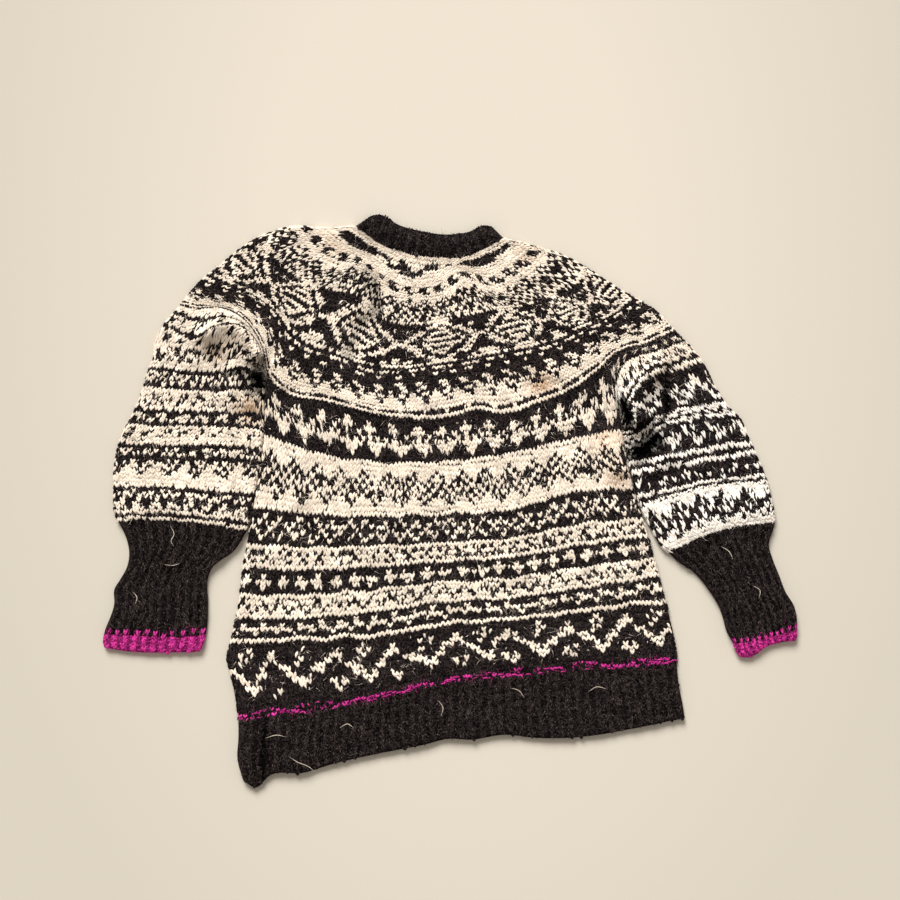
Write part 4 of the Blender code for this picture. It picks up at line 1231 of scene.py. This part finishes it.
def wool(name, near, far, depth):
    """Wool whose fibres vary between two colours, with tan spots and a tone of its own.
    depth is how far the tone, with its painted shade on a strand's edges, tips and ground, darkens
    it."""
    material, tree, shader = new_material(name, WOOL_ROUGHNESS, WOOL_GLOSS)
    fibres = add_noise(tree, "wool fibres")
    colour = multiply(tree, add_mix(tree, fibres, near, far), add_noise(tree, "clouds"))
    if name == "cream_wool":
        # Painted cool light on the right sleeve: the cream turns a cooler white there.
        cool = add_mix(tree, fibres, CREAM_IN_COOL_LIGHT, CREAM)
        colour = add_mix(tree, attribute(tree, "cool_light"), colour, cool)
        colour = add_mix(tree, add_noise(tree, "blush"), colour, BLUSH)
        # Tan spots: the cream turns tan brown in patches here.
        patches = add_noise(tree, "tan patches")
        tan_share = add_node(tree, "Math", {0: attribute(tree, "tan_share"), 1: patches},
                         operation="MULTIPLY")
        colour = add_mix(tree, tan_share.outputs[0], colour, TAN_BROWN)
    tone = add_range(tree, attribute(tree, "tone"), 0, BRIGHTEST_TONE, 1 - depth, 1 + depth / 2)
    return finish_wool(material, tree, shader, multiply(tree, colour, tone), fibres, WOOL_BUMP)


def ground(name, near, far):
    """The wool that shows between the stitches of a tube. The ground of the patterned tubes is
    dark with painted shade.
    """
    material, tree, shader = new_material(name, WOOL_ROUGHNESS, WOOL_GLOSS)
    fibres = add_noise(tree, "ground fibres")
    colour = add_mix(tree, fibres, near, far)
    return finish_wool(material, tree, shader, colour, fibres, GROUND_BUMP)


def floor_paper():
    material, tree, shader = new_material("floor_paper", PAPER_ROUGHNESS, PAPER_GLOSS)
    paper = add_mix(tree, add_noise(tree, "paper grain"), FLOOR, FLOOR_FAR)
    # Painted pool of light: the paper's colour dims away from its brightest spot.
    place = add_node(tree, "TexCoord").outputs["Object"]
    for operation, by in (("SUBTRACT", FLOOR_LIGHT_POOL), ("MULTIPLY", FLOOR_STRETCH)):
        moved = add_node(tree, "VectorMath", {0: place, 1: by}, operation=operation)
        place = moved.outputs["Vector"]
    away = add_node(tree, "VectorMath", {0: place}, operation="LENGTH")
    painted_dim = add_range(tree, away.outputs["Value"], *FLOOR_PAINTED_DIM_SPAN, 1.0, FLOOR_PAINTED_DIM)
    tree.links.new(multiply(tree, paper, painted_dim), shader.inputs["Base Color"])
    return material


# The sweater

# Each tube, with its material slot and the ground between its stitches, and with its cut, laid out
# flat: the way round it and its length in metres, all round. The yoke's is its rim and its height,
# and its area is that of the tapered cut. The stripe over the hem is too narrow for a cut of its
# own.
PARTS = {
    "neckband": ("charcoal_wool", "dark", (0.37, 0.028)),
    "yoke": ("cream_wool", "mixed", (1.40, 0.21)),
    "body": ("cream_wool", "mixed", (0.98, 0.34)),
    "hem_stripe": ("magenta_wool", "mixed", None),
    "hem_rib": ("charcoal_wool", "dark", (1.11, 0.072)),
    "sleeve_left": ("cream_wool", "mixed", (0.34, 0.25)),
    "sleeve_right": ("cream_wool", "mixed", (0.29, 0.25)),
    "cuff_left": ("charcoal_wool", "dark", (0.25, 0.14)),
    "cuff_right": ("charcoal_wool", "dark", (0.21, 0.14)),
    "cuff_left_edge": ("magenta_wool", "magenta", (0.25, 0.02)),
    "cuff_right_edge": ("magenta_wool", "magenta", (0.16, 0.014)),
}


def add_sweater(wools, grounds, chance):
    def part(name, panel, plan, ribs=0, ends=(False, False), forms=(0, 0), cool_light=0.0,
             carries=()):
        """A tube with its stitches and fuzz. plan gives the stitches of a wall, and carries is not
        used."""
        slot, base, flat = PARTS[name]
        front, back = front_surface(panel, ends, ribs, forms), back_surface(panel, ribs)
        plans = [plan(front), plan(back)]
        tube = add_tube(name, front, back, grounds[base], ribs)
        stitches, fibres = Yarns(cool_light), Yarns(cool_light)
        for surface, stitch_plan in zip((front, back), plans):
            knit(stitches, surface, stitch_plan, chance)
        fuzz(fibres, front, plans[0], chance)
        loose_hairs(fibres, front, HAIRS.get(name, []))
        pieces = stitches.make(f"{name}_knit", wools) + fibres.make(f"{name}_fuzz", wools)
        return [tube, *pieces]

    def charts(tiers, marks):
        return lambda surface: chart_plan(tiers, {
            repeat: surface.shares_of(points) for repeat, points in marks.items()})

    def ribbed(ribs, rows, yarn, purl_tone, last=None):
        return lambda surface: rib_plan(ribs, rows, yarn, purl_tone, last)

    rim = line(YOKE_RIM)
    rim_left, rim_body, rim_right = split_rim(rim)
    sides = [line([NECK_TOP[k], NECK_SEAM[k]]) for k in (0, -1)]
    neckband = simple_panel(line(NECK_TOP), line(NECK_SEAM), *sides)
    part("neckband", neckband, ribbed(NECK_RIBS, NECK_ROWS, "x", NECK_PURL_TONE), NECK_RIBS,
         (True, False))
    yoke = Panel(line(SHOULDER_LEFT), line(SHOULDER_RIGHT),
                 rows_between(line(NECK_SEAM), YOKE_RINGS, rim))
    part("yoke", yoke, charts(YOKE_TIERS, {LATTICE_REPEAT: LATTICE_CROSSINGS}))
    zigzag = charts([(BODY_STITCHES, BODY_CHART)], {HEM_REPEAT: HEM_VALLEYS})
    part("body", body_panel(rim_body), zigzag, forms=BODY_FOLD_FORMS)
    left = Panel(line(SLEEVE_OUT_LEFT), line(SLEEVE_IN_LEFT),
                 rows_between(rim_left, SLEEVE_ROWS_LEFT, line(CUFF_SEAM_LEFT)))
    # The right sleeve's rows are given from the outside in, so they are turned round.
    right_rows = [(share, row[::-1]) for share, row in SLEEVE_ROWS_RIGHT]
    right = Panel(line(SLEEVE_IN_RIGHT), line(SLEEVE_OUT_RIGHT),
                  rows_between(rim_right, right_rows, line(CUFF_SEAM_RIGHT[::-1])))
    part("sleeve_left", left, charts([(SLEEVE_STITCHES, SLEEVE_CHART_LEFT)], {}),
         forms=(0, SLEEVE_FOLD_FORMS[0]))
    part("sleeve_right", right, charts([(SLEEVE_STITCHES, SLEEVE_CHART_RIGHT)], {}),
         forms=(SLEEVE_FOLD_FORMS[1], 0), cool_light=1.0)
    stripe_top, stripe_bottom = hem_lines()
    joins = [Line(np.array([stripe_top.at(k), stripe_bottom.at(k)])) for k in (0.0, 1.0)]
    stripe = part("hem_stripe", simple_panel(stripe_top, stripe_bottom, *joins),
                  lambda surface: stripe_plan(BODY_STITCHES, STRIPE_SHARES, chance))
    hem = simple_panel(stripe_bottom, line(HEM_BOTTOM), line(HEM_SIDE_LEFT),
                       line(HEM_SIDE_RIGHT))
    part("hem_rib", hem, ribbed(HEM_RIBS, HEM_ROWS, "x", HEM_PURL_TONE), HEM_RIBS,
         (False, True), carries=stripe)
    for side, top, end, out, inside, edge_end, edge_out, edge_in in (
        ("left", CUFF_SEAM_LEFT, CUFF_END_LEFT, CUFF_OUT_LEFT, CUFF_IN_LEFT,
         EDGE_END_LEFT, EDGE_OUT_LEFT, EDGE_IN_LEFT),
        ("right", CUFF_SEAM_RIGHT[::-1], CUFF_END_RIGHT, CUFF_IN_RIGHT, CUFF_OUT_RIGHT,
         EDGE_END_RIGHT, EDGE_IN_RIGHT, EDGE_OUT_RIGHT),
    ):
        cuff = simple_panel(line(top), line(end), line(out), line(inside))
        part(f"cuff_{side}", cuff, ribbed(CUFF_RIBS, CUFF_ROWS, "x", CUFF_PURL_TONE, "m"),
             CUFF_RIBS)
        edge = simple_panel(line(end), line(edge_end), line(edge_out), line(edge_in))
        part(f"cuff_{side}_edge", edge, ribbed(CUFF_RIBS, EDGE_ROWS, "m", EDGE_PURL_TONE),
             ends=(False, True))


def add_floor():
    half = FLOOR_SIZE / 2
    mesh = bpy.data.meshes.new("floor")
    mesh.from_pydata([(-half, -half, 0), (half, -half, 0), (half, half, 0), (-half, half, 0)],
                     [], [(0, 1, 2, 3)])
    mesh.materials.append(floor_paper())
    floor = add_object("floor", mesh)
    floor.location.z = FLOOR_Z


def add_camera():
    camera = add_object("camera", bpy.data.cameras.new("camera"))
    camera.data.sensor_width = SENSOR
    camera.data.lens = LENS
    camera.location = CAMERA
    bpy.context.scene.camera = camera


def add_sun():
    sun = add_object("sun", bpy.data.lights.new("sun", "SUN"))
    sun.data.energy = SUN_STRENGTH
    sun.data.angle = np.radians(SUN_WIDTH)
    sun.rotation_euler = Vector(SUN_FROM).to_track_quat("Z", "Y").to_euler()


def add_world():
    world = bpy.data.worlds.new("daylight")
    world.use_nodes = True
    background = world.node_tree.nodes["Background"]
    background.inputs["Color"].default_value = (*SKY, 1)
    background.inputs["Strength"].default_value = SKY_STRENGTH
    bpy.context.scene.world = world


add_floor()
wools = {colour: wool(*looks) for colour, looks in WOOLS.items()}
grounds = {base: ground(*looks) for base, looks in GROUNDS.items()}
add_sweater(wools, grounds, np.random.default_rng(SEED))
add_camera()
add_world()
add_sun()
bpy.context.scene.view_settings.view_transform = "Standard"
